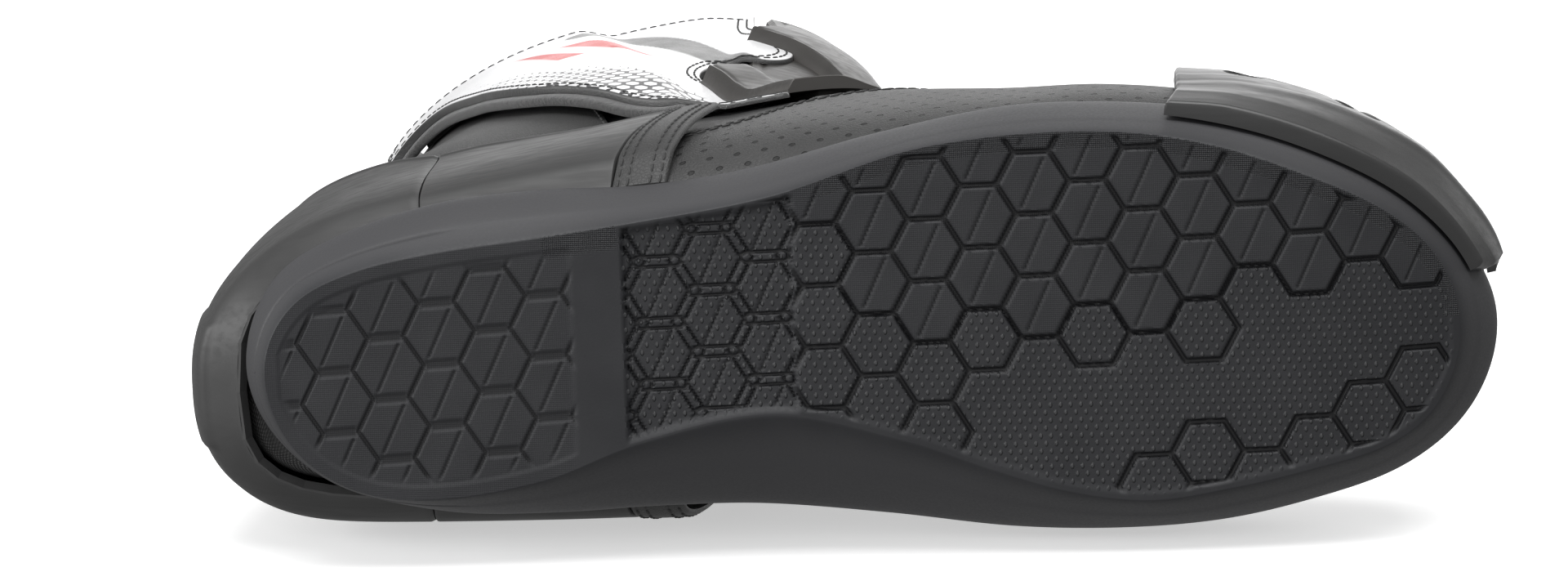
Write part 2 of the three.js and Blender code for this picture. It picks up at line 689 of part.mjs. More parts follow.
function addFoot() {
  const shell = [shellGap, shellGap + counterThickness];
  const ankle = [ankleGap, ankleGap + ankleShell];
  const strap = [ankleGap, ankleGap + strapThickness];
  const vampTop = line([235.8, 78], [214, 88], [197, 103], [168, 92], [141, 80.5], [127, 61.5], [110, 51]);
  for (const [side, name] of BOTH) {
    add(`vamp_${name}`, ridgePanel(feather(235.8, 108), vampTop, side, main, 12, 7), microfibre);
    const quarterTop = ankleArc(quarterRadius, -70, -134);
    add(`quarter_${name}`, panel(feather(106.5, 44), quarterTop, side, main, 6, 3), microfibre);
    const ankleTop = line([107, 80], [98, 85], [80, 88], [62, 86], [50, 81]);
    const ankleBottom = wallLine(95, 50, shellLift);
    add(`ankle_panel_${name}`, panel(ankleBottom, ankleTop, side, ankle, 6, 6), moulded);
    const strapTop = line([119, 76], [108.5, 81]);
    const strapBottom = wallLine(108, 96.5, shellLift);
    add(`ankle_strap_${name}`, panel(strapBottom, strapTop, side, strap, 2, 6), microfibre);
  }
  const wallHeight = soleWallHeight / stretchZ;
  const counterEdge = line([49, wallHeight + shellLift], [49, 50], [49, 80.5]);
  const stiffenerEdge = line([42.5, wallHeight + featherLift], [42.5, 42], [42.5, 61]);
  const counterRidge = ridgeLine(backRidge, 11.62, 14.75);
  const stiffenerRidge = ridgeLine(backRidge, 11.4, 14.2);
  add("heel_counter", wrap(counterEdge, counterRidge, shell, 7, 16), moulded);
  add("heel_stiffener", wrap(stiffenerEdge, stiffenerRidge, main, 6, 14), moulded);
  const liner = [-liningGap - liningThickness, -liningGap];
  const forefootEdge = feather(234, 192);
  const forefootRidge = ridgeLine(frontRidge, 5.2, 6.85);
  add("lining_forefoot", wrap(forefootEdge, forefootRidge, liner, 4, 14), textile);
  const heelEdge = line([187, wallHeight + featherLift], [188, 56], [188, 82]);
  add("lining_heel", wrap(heelEdge, ridgeLine(backRidge, 11.4, 14.25), liner, 5, 22), textile);
}

function addFlexPanels() {
  const soft = [-leather, -0.2];
  const instep = line([141.6, 83.5], [143.4, 109.5]);
  add("front_flex_panel", wrap(instep, ridgeLine(frontRidge, 7.05, 9), soft, 5, 12), microfibre);
  const achilles = line([28, 93], [22.4, 121]);
  add("rear_flex_panel", wrap(achilles, ridgeLine(backRidge, 14.4, 15.5), soft, 4, 8), microfibre);
}

function addShaft() {
  const top = (from, to) => (t) => {
    const x = (from + (to - from) * t) * stretchX;
    const share = (x - column(3, legTop)) / (column(0, legTop) - column(3, legTop));
    return [x, column(4, legTop) + (column(1, legTop) - column(4, legTop)) * share];
  };
  const tuck = (up) => -legTuck * (1 - THREE.MathUtils.smoothstep(up, 0, 0.25));
  const leg = [(ahead, up) => tuck(up) - leather, (ahead, up) => tuck(up)];
  const face = (bottom, high, rear, front, side, cols) =>
    patch(bottom, high, rear, front, side, leg, 9, cols);
  const bottom = line(...legBottomRear, [throat, 61], ...legBottomFront);
  const medial = face(bottom, top(27, 119.5), legRear, behindPlate, MEDIAL, 8);
  add("shaft_panel_medial", medial, microfibre);
  const bottomAhead = line([throat + seam, 61], ...legBottomFront);
  const ahead = face(bottomAhead, top(70, 119.5), aheadOfZip, behindPlate, LATERAL, 5);
  add("shaft_panel_front", ahead, microfibre);
  const bottomBehind = line(...legBottomRear, [throat - seam, 61]);
  const behind = face(bottomBehind, top(27, 52), legRear, behindZip, LATERAL, 5);
  add("shaft_panel_rear", behind, microfibre);
  add("shin_plate", wrap(plateEdge, ridgeLine(frontRidge, 9.1, legTop), ridgePlate, 10, 10), moulded);
  add("calf_plate", wrap(calfEdge, ridgeLine(backRidge, 15.6, legTop), ridgePlate, 7, 8), moulded);
}

function addPadding() {
  const liner = [-shaftFoam - liningThickness, -shaftFoam];
  const pad = [-shaftFoam + facetGap, -leather - facetGap];
  const roll = [-leather - collarFoam, -leather - 4 * fit];
  const middle = line([90, 110], [86, 180], [84, 247]);
  const back = line([89, 110], [85, 180], [83, 247]);
  add("shaft_lining_front", wrap(middle, ridgeLine(frontRidge, 9.4, 18.8), liner, 7, 12), textile);
  add("shaft_lining_back", wrap(back, ridgeLine(backRidge, 15.9, 18.8), liner, 7, 12), textile);
  const rim = (x) => line([x, 250], [x, 276]);
  add("collar_pad_front", wrap(rim(85), ridgeLine(frontRidge, 18.95, COLLAR), roll, 3, 14), textile);
  add("collar_pad_back", wrap(rim(84), ridgeLine(backRidge, 18.95, COLLAR), roll, 3, 14), textile);
  const shinEdge = line([127, 154], [123, 190], [122, 240]);
  add("shin_foam", wrap(shinEdge, ridgeLine(frontRidge, 10.8, 18.7), pad, 7, 10), foam);
  for (const [side, name] of BOTH) {
    const disc = panel(line([64, 99], [88, 99]), line([64, 126], [84, 126]), side, pad, 3, 3);
    add(`ankle_pad_${name}`, disc, foam);
  }
}

function addPullLoop() {
  const [x, z] = backRidge(legTop - 0.55);
  const height = 30;
  const depth = 5.6;
  const webbing = 1.5;
  const width = 16;
  const rounded = (Outline, inset) => {
    const path = new Outline();
    const r = depth / 2 - inset;
    path.absarc(0, height - depth / 2, r, 0, Math.PI, false);
    path.absarc(0, depth / 2, r, Math.PI, 2 * Math.PI, false);
    return path;
  };
  const shape = rounded(THREE.Shape, 0);
  shape.holes.push(rounded(THREE.Path, webbing));
  const g = new THREE.ExtrudeGeometry(shape, { depth: width, bevelEnabled: false, curveSegments: 6 });
  g.rotateX(Math.PI / 2).translate(0, width / 2, 0).rotateY(-0.06);
  g.translate(x - plateProud - depth / 2 - 2 * facetGap, column(5, legTop), z);
  add("pull_loop", g, textile);
}

function addZip() {
  const { length } = zipFrame();
  const near = zipGap / 2;
  const tapes = [["front", near, near + zipTape], ["rear", -near - zipTape, -near]];
  for (const [name, x0, x1] of tapes) {
    const tape = zipSolid(rectangle(x0, x1, 0, length), tapeTop - zipTapeThickness, tapeTop);
    add(`zip_tape_${name}`, tape, textile);
  }
  const faceOfSlider = tapeTop + fit + sliderBody[2];
  add("zip_slider", zipSolid(sliderShape(), tapeTop + fit, faceOfSlider), steel);
  const pull = zipSolid(pullShape(), faceOfSlider + fit, faceOfSlider + fit + pullTab[2]);
  add("zip_puller", pull, steel);
}

function addFlap() {
  // The flap lies close to the leg at its sewn edge and rises over the zip.
  const over = (ahead) => THREE.MathUtils.smoothstep(1 - ahead, 0, 0.1);
  const inner = (ahead) => hingeLift + (flapLift - hingeLift) * over(ahead);
  const outer = (ahead) => inner(ahead) + flapThickness;
  const front = (t) => mixPoint(draft(hingeLow), draft(hingeHigh), t);
  const rear = line([24, 226], [24, 250]);
  const body = patch(flapBottom, flapTop, rear, front, LATERAL, [inner, outer], 7, 10);
  add("closure_flap", body, printed);
  const low = line([31, 228], [48, 218]);
  const high = line([31, 244], [48, 241]);
  const hook = [flapLift - facetGap - padThickness, flapLift - facetGap];
  add("flap_hook_pad", panel(low, high, LATERAL, hook, 2, 2), textile);
  add("flap_loop_pad", panel(low, high, LATERAL, [fit, fit + padThickness], 2, 2), textile);
}

addSole();
addToe();
addFoot();
addFlexPanels();
addShaft();
addPadding();
addPullLoop();
addZip();
addFlap();

// The origin goes under the middle of the boot, on the ground.
const size = new THREE.Box3().setFromObject(boot);
const centre = size.getCenter(new THREE.Vector3());
boot.position.set(-centre.x, -centre.y, -size.min.z);

export default boot;
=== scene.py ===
"""Looks of a right-foot road-riding boot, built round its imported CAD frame.

The drafting is in the CAD's own terms: millimetres, x from heel to toe, y to the inner (medial) side
and z up, drawn in side view and laid on one skin. row() moves it into the frame, in metres.
"""

import math

import bmesh
import bpy
import numpy as np
from mathutils import Matrix, Vector


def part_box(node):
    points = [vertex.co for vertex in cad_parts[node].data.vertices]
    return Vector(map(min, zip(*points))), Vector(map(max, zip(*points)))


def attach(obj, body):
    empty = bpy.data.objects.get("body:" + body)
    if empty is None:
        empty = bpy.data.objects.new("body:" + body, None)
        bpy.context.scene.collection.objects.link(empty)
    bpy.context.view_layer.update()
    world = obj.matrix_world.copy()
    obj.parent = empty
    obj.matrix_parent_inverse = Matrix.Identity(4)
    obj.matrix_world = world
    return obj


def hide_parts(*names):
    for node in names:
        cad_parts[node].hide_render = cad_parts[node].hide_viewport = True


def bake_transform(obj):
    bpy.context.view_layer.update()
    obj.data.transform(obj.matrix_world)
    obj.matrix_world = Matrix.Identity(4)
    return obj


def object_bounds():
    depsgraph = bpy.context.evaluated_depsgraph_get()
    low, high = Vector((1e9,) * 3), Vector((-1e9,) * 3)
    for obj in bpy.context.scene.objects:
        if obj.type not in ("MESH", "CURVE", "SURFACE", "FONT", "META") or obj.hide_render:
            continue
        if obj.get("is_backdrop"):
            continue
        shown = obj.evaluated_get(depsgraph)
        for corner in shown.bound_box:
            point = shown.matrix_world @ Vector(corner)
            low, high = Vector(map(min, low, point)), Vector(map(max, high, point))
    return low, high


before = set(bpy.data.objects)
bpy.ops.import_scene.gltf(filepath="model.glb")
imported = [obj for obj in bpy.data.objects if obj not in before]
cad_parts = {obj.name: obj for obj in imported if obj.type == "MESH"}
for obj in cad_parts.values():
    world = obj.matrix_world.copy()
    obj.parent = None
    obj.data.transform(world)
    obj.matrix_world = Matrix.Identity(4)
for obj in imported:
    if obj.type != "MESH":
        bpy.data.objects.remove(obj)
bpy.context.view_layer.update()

MM = 0.001
LATERAL, MEDIAL = -1, 1

# ---------- The skin ----------
# Rows: front ridge x, z, y; back ridge x, z, y; half width; roundness at the front and at the back.
SECTIONS = np.array([
    [305.8, 31, 9, 305.8, 25, 9, 2, 2, 2],
    [302, 43, 9, 302, 17, 9, 17, 2.1, 2.4],
    [295, 50, 9, 295, 13, 9, 27, 2.2, 2.8],
    [283, 57, 8, 283, 11, 8, 37, 2.3, 3.1],
    [262, 64, 6.5, 262, 10, 6.5, 45.5, 2.3, 3.3],
    [238, 73, 6, 238, 10, 6, 50.5, 2.3, 3.3],
    [216, 86, 7, 212, 10, 6, 52.5, 2.3, 3.3],
    [196, 104, 7, 184, 10, 6, 50.7, 2.3, 3.5],
    [181, 124, 6, 152, 11, 6.2, 48.7, 2.3, 3.4],
    [172, 142, 4.5, 112, 12, 8.3, 46.5, 2.4, 3.4],
    [167, 153, 3, 62, 12, 12.5, 43.3, 2.5, 3.6],
    [164.5, 161, 2, 14.5, 16, 17.3, 39.7, 2.5, 3.5],
    [163, 168, 1.5, -2.3, 32, 20.5, 40, 2.5, 2.8],
    [162, 175, 1, -5.5, 55, 20, 41.2, 2.5, 2.4],
    [161, 183, 0, -4, 80, 18.8, 41, 2.5, 2.3],
    [160, 193, -1, 5, 107, 18.4, 41, 2.5, 2.3],
    [158.5, 206, -1.5, 13, 136, 18.2, 41.4, 2.4, 2.3],
    [157, 224, -2, 18, 168, 18.5, 42, 2.3, 2.2],
    [155, 246, -2, 19, 204, 20, 43, 2.3, 2.2],
    [152, 268, -1.5, 18, 236, 21, 43, 2.2, 2.2],
    [148, 288, -1, 15, 264, 22, 43, 2.2, 2.2],
])
COLLAR = len(SECTIONS) - 1
LEG_TOP = COLLAR - 0.28


def column(k, s):
    """Column k of SECTIONS at s, where whole numbers are the rows."""
    s = np.asarray(s, float)
    i = np.clip(np.floor(s), 0, COLLAR - 1).astype(int)
    t = s - i
    a, b, c, d = (SECTIONS[np.clip(i + n, 0, COLLAR), k] for n in (-1, 0, 1, 2))
    return b + 0.5 * t * (c - a + t * (2 * a - 5 * b + 4 * c - d + t * (3 * (b - c) + d - a)))


def power_of(cos, s):
    return np.where(cos > 0, column(7, s), column(8, s))


def skin_point(s, angle):
    """s runs along SECTIONS; angle is 0 on the front ridge, pi on the back ridge, minus is lateral."""
    cos, sin = np.cos(angle), np.sin(angle)
    power = power_of(cos, s)
    reach = (np.abs(cos) ** power + np.abs(sin) ** power) ** (-1 / power)
    share = (1 + cos * reach) / 2
    x, z, y = (column(k + 3, s) + (column(k, s) - column(k + 3, s)) * share for k in range(3))
    return np.stack([x, y + column(6, s) * sin * reach, z], -1)


def unit(v):
    return v / np.maximum(np.linalg.norm(v, axis=-1, keepdims=True), 1e-9)


def skin_normal(s, angle, e=0.004):
    along = skin_point(np.minimum(s + e, COLLAR), angle) - skin_point(np.maximum(s - e, 0), angle)
    round_it = skin_point(s, angle + e) - skin_point(s, angle - e)
    return unit(np.cross(round_it, along))


def locate(x, z, side):
    """The s and angle of the skin under side-view points."""
    x, z, side = np.broadcast_arrays(np.asarray(x, float), np.asarray(z, float), np.asarray(side, float))
    low, high = np.zeros(x.shape), np.full(x.shape, float(COLLAR))
    for _ in range(26):
        s = (low + high) / 2
        dx, dz = column(0, s) - column(3, s), column(1, s) - column(4, s)
        behind = (x - column(3, s)) * dz - (z - column(4, s)) * dx < 0
        low, high = np.where(behind, s, low), np.where(behind, high, s)
    s = (low + high) / 2
    dx, dz = column(0, s) - column(3, s), column(1, s) - column(4, s)
    share = ((x - column(3, s)) * dx + (z - column(4, s)) * dz) / (dx * dx + dz * dz)
    a = np.clip(2 * share - 1, -1, 1)
    power = power_of(a, s)
    return s, side * np.arctan2((1 - np.abs(a) ** power) ** (1 / power), a)


def front_ridge(s):
    return np.stack([column(0, s), column(1, s)], -1)


def back_ridge(s):
    return np.stack([column(3, s), column(4, s)], -1)


# ---------- The sole's outlines: x, lateral y, medial y ----------
TREAD = np.array([
    [14, 11, 11], [22, -6, 31], [36, -13, 40], [55, -17, 42], [80, -20, 38], [102, -23, 30],
    [135, -28.5, 24], [166, -38, 31], [185, -41, 38], [204, -42, 44], [223, -41, 46.5],
    [242, -37, 44], [261, -30, 40], [279, -21, 35], [290, -11, 27], [296.5, 8, 8],
])
WALL = np.array([
    [7, 12, 12], [15, -9, 31], [30, -18.5, 42], [55, -26, 49], [80, -28.5, 50], [105, -29, 49],
    [130, -32.5, 49], [160, -40, 52], [190, -45.5, 56], [215, -46, 57], [240, -43.5, 55.5],
    [262, -37.5, 51], [283, -26, 44], [298, -11, 32.5], [306.5, 10, 10],
])
BALL_SPRING, TOE_END, TOE_SPRING = 245, 306.5, 9
WALL_HEIGHT = 21


def rise(x):
    """How far the sole stands off the ground at x."""
    return TOE_SPRING * (np.maximum(x - BALL_SPRING, 0) / (TOE_END - BALL_SPRING)) ** 2


def wall_top(x):
    return WALL_HEIGHT + 0.4 * rise(x)


def outline(table, t, side, inset=0.0):
    """Points (x, y) of an outline at t, from 0 at the heel to 1 at the toe, moved inwards by inset."""
    t = np.asarray(t, float)
    x0, x1 = table[0, 0], table[-1, 0]
    place = np.arccos(1 - 2 * (table[:, 0] - x0) / (x1 - x0)) / math.pi
    y = table[:, 1 if side == LATERAL else 2]
    slope = np.gradient(y, place)
    slope[1:-1] = (y[2:] - y[:-2]) / (place[2:] - place[:-2])
    i = np.clip(np.searchsorted(place, t, side="left") - 1, 0, len(place) - 2)
    span = place[i + 1] - place[i]
    h = (t - place[i]) / span
    across = (
        y[i] * (1 + 2 * h) * (1 - h) ** 2 + slope[i] * span * h * (1 - h) ** 2
        + y[i + 1] * h * h * (3 - 2 * h) + slope[i + 1] * span * h * h * (h - 1)
    )
    shrink = 1 - 2 * inset / (x1 - x0)
    x = (x0 + x1) / 2 - (x1 - x0) / 2 * np.cos(math.pi * t) * shrink
    fade = np.minimum(1.2 * np.sqrt(np.abs(np.sin(math.pi * t))), 1)
    return np.stack([x, across - side * inset * fade], -1)


# ---------- From drafting to the frame ----------
sole_low = np.array(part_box("outsole")[0]) / MM
loop_box = np.array(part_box("pull_loop")) / MM
SHIFT = np.array([
    sole_low[0] - WALL[0, 0],
    loop_box[:, 1].mean() - float(column(5, LEG_TOP)),
    0.0,
])


def row(points):
    return (np.asarray(points, float) + SHIFT) * MM


# ---------- Meshes ----------
def add_mesh(name, points, faces, body, material, values=None, stands_for=(), slot=None, sharp=38):
    """A mesh piece from drafted points and quads or triangles, riding on a body when body names one."""
    mesh = bpy.data.meshes.new(name)
    points = np.asarray(points, float).reshape(-1, 3)
    mesh.from_pydata(row(points).tolist(), [], [list(map(int, f)) for f in faces])
    for key, array in (values or {}).items():
        array = np.asarray(array, float)
        vector = array.ndim == 2
        layer = mesh.attributes.new(key, "FLOAT_VECTOR" if vector else "FLOAT", "POINT")
        layer.data.foreach_set("vector" if vector else "value", array.ravel().astype(np.float32))
    mesh.validate()
    build = bmesh.new()
    build.from_mesh(mesh)
    bmesh.ops.remove_doubles(build, verts=build.verts, dist=1e-7)
    bmesh.ops.recalc_face_normals(build, faces=build.faces)
    build.to_mesh(mesh)
    build.free()
    mesh.shade_smooth()
    mesh.set_sharp_from_angle(angle=math.radians(sharp))
    mesh.materials.append(material)
    obj = bpy.data.objects.new(name, mesh)
    bpy.context.scene.collection.objects.link(obj)
    if isinstance(body, str):
        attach(obj, body)
    else:
        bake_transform(obj)
    if stands_for:
        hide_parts(*stands_for)
    return obj


def grid_faces(rows, cols, start=0, wrap=False):
    i, j = np.mgrid[0:rows - 1, 0:cols if wrap else cols - 1]
    a, b = i * cols + j, i * cols + (j + 1) % cols
    return (np.stack([a, a + cols, b + cols, b], -1) + start).reshape(-1, 4)


def tube_faces(rings, sides):
    """Faces of a closed tube of rings, with a cap at each end."""
    faces = grid_faces(rings, sides, wrap=True).tolist()
    faces.append(list(range(sides))[::-1])
    faces.append([(rings - 1) * sides + n for n in range(sides)])
    return faces


def joined(parts):
    """The points and faces of several parts as one."""
    points, faces = [], []
    for part_points, part_faces in parts:
        base = len(points)
        points += list(part_points)
        faces += [tuple(base + i for i in face) for face in part_faces]
    return points, faces


def sheet_mesh(outer, inner):
    """Points and faces of a closed sheet between two grids."""
    rows, cols = outer.shape[:2]
    count = rows * cols
    ring = np.concatenate([
        np.arange(cols - 1),
        np.arange(rows - 1) * cols + cols - 1,
        count - 1 - np.arange(cols - 1),
        (rows - 1 - np.arange(rows - 1)) * cols,
    ])
    after = np.roll(ring, -1)
    rim = np.stack([ring, after, after + count, ring + count], -1)
    front = grid_faces(rows, cols)
    faces = np.concatenate([front, front[:, ::-1] + count, rim])
    return np.concatenate([outer.reshape(-1, 3), inner.reshape(-1, 3)]), faces


def smooth(value, low, high):
    t = np.clip((value - low) / (high - low), 0, 1)
    return t * t * (3 - 2 * t)


def eased(count, amount=0.55):
    """Steps from 0 to 1 that are closer together at both ends."""
    t = np.linspace(0, 1, count)
    return t * (1 - amount) + amount * (0.5 - 0.5 * np.cos(math.pi * t))


def line(*points):
    """A smooth line through drafted points, as a function of 0 to 1."""
    points = np.asarray(points, float)

    def at(t):
        place = np.asarray(t, float) * (len(points) - 1)
        i = np.clip(np.floor(place), 0, max(len(points) - 2, 0)).astype(int)
        h = (place - i)[..., None]
        a, b, c, d = (points[np.clip(i + n, 0, len(points) - 1)] for n in (-1, 0, 1, 2))
        return b + 0.5 * h * (c - a + h * (2 * a - 5 * b + 4 * c - d + h * (3 * (b - c) + d - a)))

    return at


def wall_line(start, end, lift):
    def at(t):
        x = start + (end - start) * np.asarray(t, float)
        return np.stack([x, wall_top(x) + lift], -1)

    return at


def feather(start, end):
    return wall_line(start, end, 0.8)


def ridge(which, start, end):
    return lambda t: which(start + (end - start) * np.asarray(t, float))


def travels(points):
    """How far each point of a grid is from its first row and from its first column, over the surface."""
    along = np.linalg.norm(np.diff(points, axis=0), axis=-1)
    across = np.linalg.norm(np.diff(points, axis=1), axis=-1)
    down = np.concatenate([np.zeros((1, along.shape[1])), np.cumsum(along, 0)])
    right = np.concatenate([np.zeros((across.shape[0], 1)), np.cumsum(across, 1)], 1)
    return down, right


def rim_fall(edge, radius):
    """How far a face falls back near its edge, for a rounded rim."""
    share = np.clip(edge / radius, 0, 1)
    return radius * (1 - np.sqrt(1 - (1 - share) ** 2))


def doubled(values):
    """Point values for both faces of a closed sheet."""
    flat = {key: v.reshape(-1, 3) if v.ndim == 3 else v.ravel() for key, v in values.items()}
    return {key: np.concatenate([v, v]) for key, v in flat.items()}


class Patch:
    """A grid of points on the skin, with the distance of each from the patch's edges, in mm."""

    def __init__(self, flat, side, free="0123"):
        self.x, self.z = flat[..., 0], flat[..., 1]
        side = np.broadcast_to(side, self.x.shape)
        self.s, self.angle = locate(self.x, self.z, side)
        self.base = skin_point(self.s, self.angle)
        self.normal = skin_normal(self.s, self.angle)
        self.down, self.right = travels(self.base)
        self.gaps = [self.down, self.down[-1:] - self.down, self.right, self.right[:, -1:] - self.right]
        self.edge = np.min([self.gaps[int(k)] for k in free], axis=0)

    def at(self, lift):
        return self.base + self.normal * np.broadcast_to(lift, self.x.shape)[..., None]

    def share_down(self):
        return self.down / self.down[-1:]

    def crown(self):
        """0 at the first and last row and 1 half-way."""
        return np.sin(np.clip(self.share_down(), 0, 1) * math.pi)

    def along_edge(self, which, distance, lift):
        """A line at that distance from edge 0 or 1 (rows) or 2 or 3 (columns), and its normals."""
        gap = self.gaps[which]
        points, normals = self.at(lift), self.normal
        if which < 2:
            gap, points, normals = gap.T, points.swapaxes(0, 1), normals.swapaxes(0, 1)
        if which % 2:
            gap, points, normals = gap[:, ::-1], points[:, ::-1], normals[:, ::-1]
        picked = [
            np.array([[np.interp(distance, g, a[:, k]) for k in range(3)] for g, a in zip(gap, array)])
            for array in (points, normals)
        ]
        return picked[0], unit(picked[1])


def coons(bottom, top, rear, front, rows, cols):
    """Side-view points inside four lines. bottom and top run to the toe, rear and front run up."""
    up, ahead = eased(rows)[:, None, None], eased(cols)[None, :, None]
    across = bottom(ahead[..., 0]) * (1 - up) + top(ahead[..., 0]) * up
    upwards = rear(up[..., 0]) * (1 - ahead) + front(up[..., 0]) * ahead
    (low_rear, low_front), (high_rear, high_front) = bottom([0, 1]), top([0, 1])
    low = low_rear * (1 - ahead) + low_front * ahead
    high = high_rear * (1 - ahead) + high_front * ahead
    return across + upwards - low * (1 - up) - high * up


def ruled(low, high, rows, cols, ease=eased):
    u, v = eased(rows), ease(cols)[None, :, None]
    return low(u)[:, None] * (1 - v) + high(u)[:, None] * v


def wrapped(edge, top, rows, cols):
    """Points of a panel that wraps a ridge, and the side of each."""
    u, v = eased(rows), np.linspace(0, 1, cols)
    share = np.sin(v * math.pi)[None, :, None]
    flat = edge(u)[:, None] * (1 - share) + top(u)[:, None] * share
    return flat, np.where(v < 0.5, LATERAL, MEDIAL)[None, :]


def shell(name, patch, outer, inner, body, material, radius=0.9, **more):
    """A closed sheet on a patch. outer and inner are lifts off the skin, in mm."""
    none = np.zeros_like(patch.x)
    values = {
        "flat": np.stack([patch.x, patch.z, none], -1),
        "run": np.stack([patch.down, patch.right, none], -1),
        "edge": patch.edge,
    }
    points, faces = sheet_mesh(patch.at(outer - rim_fall(patch.edge, radius)), patch.at(inner))
    return add_mesh(name, points, faces, body, material, doubled(values), **more)


def stitches(name, paths, body, material, pitch=3.4, length=2.5, radius=0.34, **more):
    """Rows of thread stitches along paths of points and normals."""
    rings = [(-0.5, 0.25), (-0.36, 0.9), (0, 1.0), (0.36, 0.9), (0.5, 0.25)]
    sides, look_ahead = 6, 0.3
    turns = 2 * math.pi * np.arange(sides) / sides
    one_faces = tube_faces(len(rings), sides)
    parts = []
    for path, normal in paths:
        steps = np.linalg.norm(np.diff(path, axis=0), axis=1)
        travel = np.concatenate([[0], np.cumsum(steps)])
        for k in range(int(travel[-1] // pitch)):
            place = (k + 0.5) * pitch
            here, ahead, out = (
                np.array([np.interp(at, travel, line_of[:, c]) for c in range(3)])
                for at, line_of in ((place, path), (place + look_ahead, path), (place, normal))
            )
            out, forward = unit(out), unit(ahead - here)
            side = np.cross(out, forward)
            points = [
                here + forward * share * length + radius * width * (side * c + out * (s * 0.8 + 0.35))
                for share, width in rings for c, s in zip(np.cos(turns), np.sin(turns))
            ]
            parts.append((points, one_faces))
    return add_mesh(name, *joined(parts), body, material, **more)


# ---------- Materials ----------
class Paint:
    """A node material and short names for the nodes that it needs."""

    def __init__(self, name, **sockets):
        self.material = bpy.data.materials.new(name)
        self.material.use_nodes = True
        self.tree = self.material.node_tree
        self.shader = self.tree.nodes["Principled BSDF"]
        for key, value in sockets.items():
            self.shader.inputs[key.replace("_", " ")].default_value = value

    def node(self, kind, inputs=(), **settings):
        node = self.tree.nodes.new(kind)
        for key, value in settings.items():
            setattr(node, key, value)
        for key, value in dict(inputs).items():
            self.put(node.inputs[key], value)
        return node

    def put(self, socket, value):
        if isinstance(value, bpy.types.NodeSocket):
            self.tree.links.new(value, socket)
        else:
            socket.default_value = value

    def math(self, operation, *values, clamp=False):
        node = self.node("ShaderNodeMath", operation=operation, use_clamp=clamp)
        for k, value in enumerate(values):
            self.put(node.inputs[k], value)
        return node.outputs[0]

    def wave(self, operation, value, pitch):
        return self.math(operation, self.math("MULTIPLY", value, 2 * math.pi / pitch))

    def folded(self, value, pitch, shift):
        """The distance to the nearest multiple of pitch, signed, with the grid moved by shift."""
        return self.math("WRAP", self.math("ADD", value, shift), pitch / 2, -pitch / 2)

    def object_mm(self):
        coordinates = self.node("ShaderNodeTexCoord").outputs["Object"]
        return self.node("ShaderNodeVectorMath", {0: coordinates, 3: 1 / MM}, operation="SCALE").outputs[0]

    def value_of(self, name, output="Fac"):
        return self.node("ShaderNodeAttribute", attribute_name=name).outputs[output]

    def split(self, vector):
        node = self.node("ShaderNodeSeparateXYZ", {0: vector})
        return node.outputs[0], node.outputs[1], node.outputs[2]

    def noise(self, vector, scale, detail=3.0, roughness=0.55):
        inputs = {"Vector": vector, "Scale": scale, "Detail": detail, "Roughness": roughness}
        return self.node("ShaderNodeTexNoise", inputs).outputs["Fac"]

    def cells(self, vector, scale, feature="F1"):
        inputs = {"Vector": vector, "Scale": scale}
        return self.node("ShaderNodeTexVoronoi", inputs, feature=feature).outputs["Distance"]

    def step(self, value, low, high, out_low=0.0, out_high=1.0):
        inputs = {0: value, 1: low, 2: high, 3: out_low, 4: out_high}
        node = self.node("ShaderNodeMapRange", inputs, interpolation_type="SMOOTHSTEP", clamp=True)
        return node.outputs[0]

    def mix(self, factor, first, second):
        node = self.node("ShaderNodeMix", data_type="RGBA")
        for socket, value in zip((node.inputs[0], node.inputs[6], node.inputs[7]), (factor, first, second)):
            self.put(socket, value)
        return node.outputs[2]

    def bump(self, height, distance, normal=None, strength=1.0):
        inputs = {"Height": height, "Distance": distance * MM, "Strength": strength}
        node = self.node("ShaderNodeBump", inputs)
        if normal is not None:
            self.put(node.inputs["Normal"], normal)
        return node.outputs[0]

    def finish(self, colour=None, roughness=None, normal=None):
        for key, value in (("Base Color", colour), ("Roughness", roughness), ("Normal", normal)):
            if value is not None:
                self.put(self.shader.inputs[key], value)
        return self.material


def grey(value, warm=0.0):
    return (value * (1 + warm), value, value * (1 - warm), 1.0)


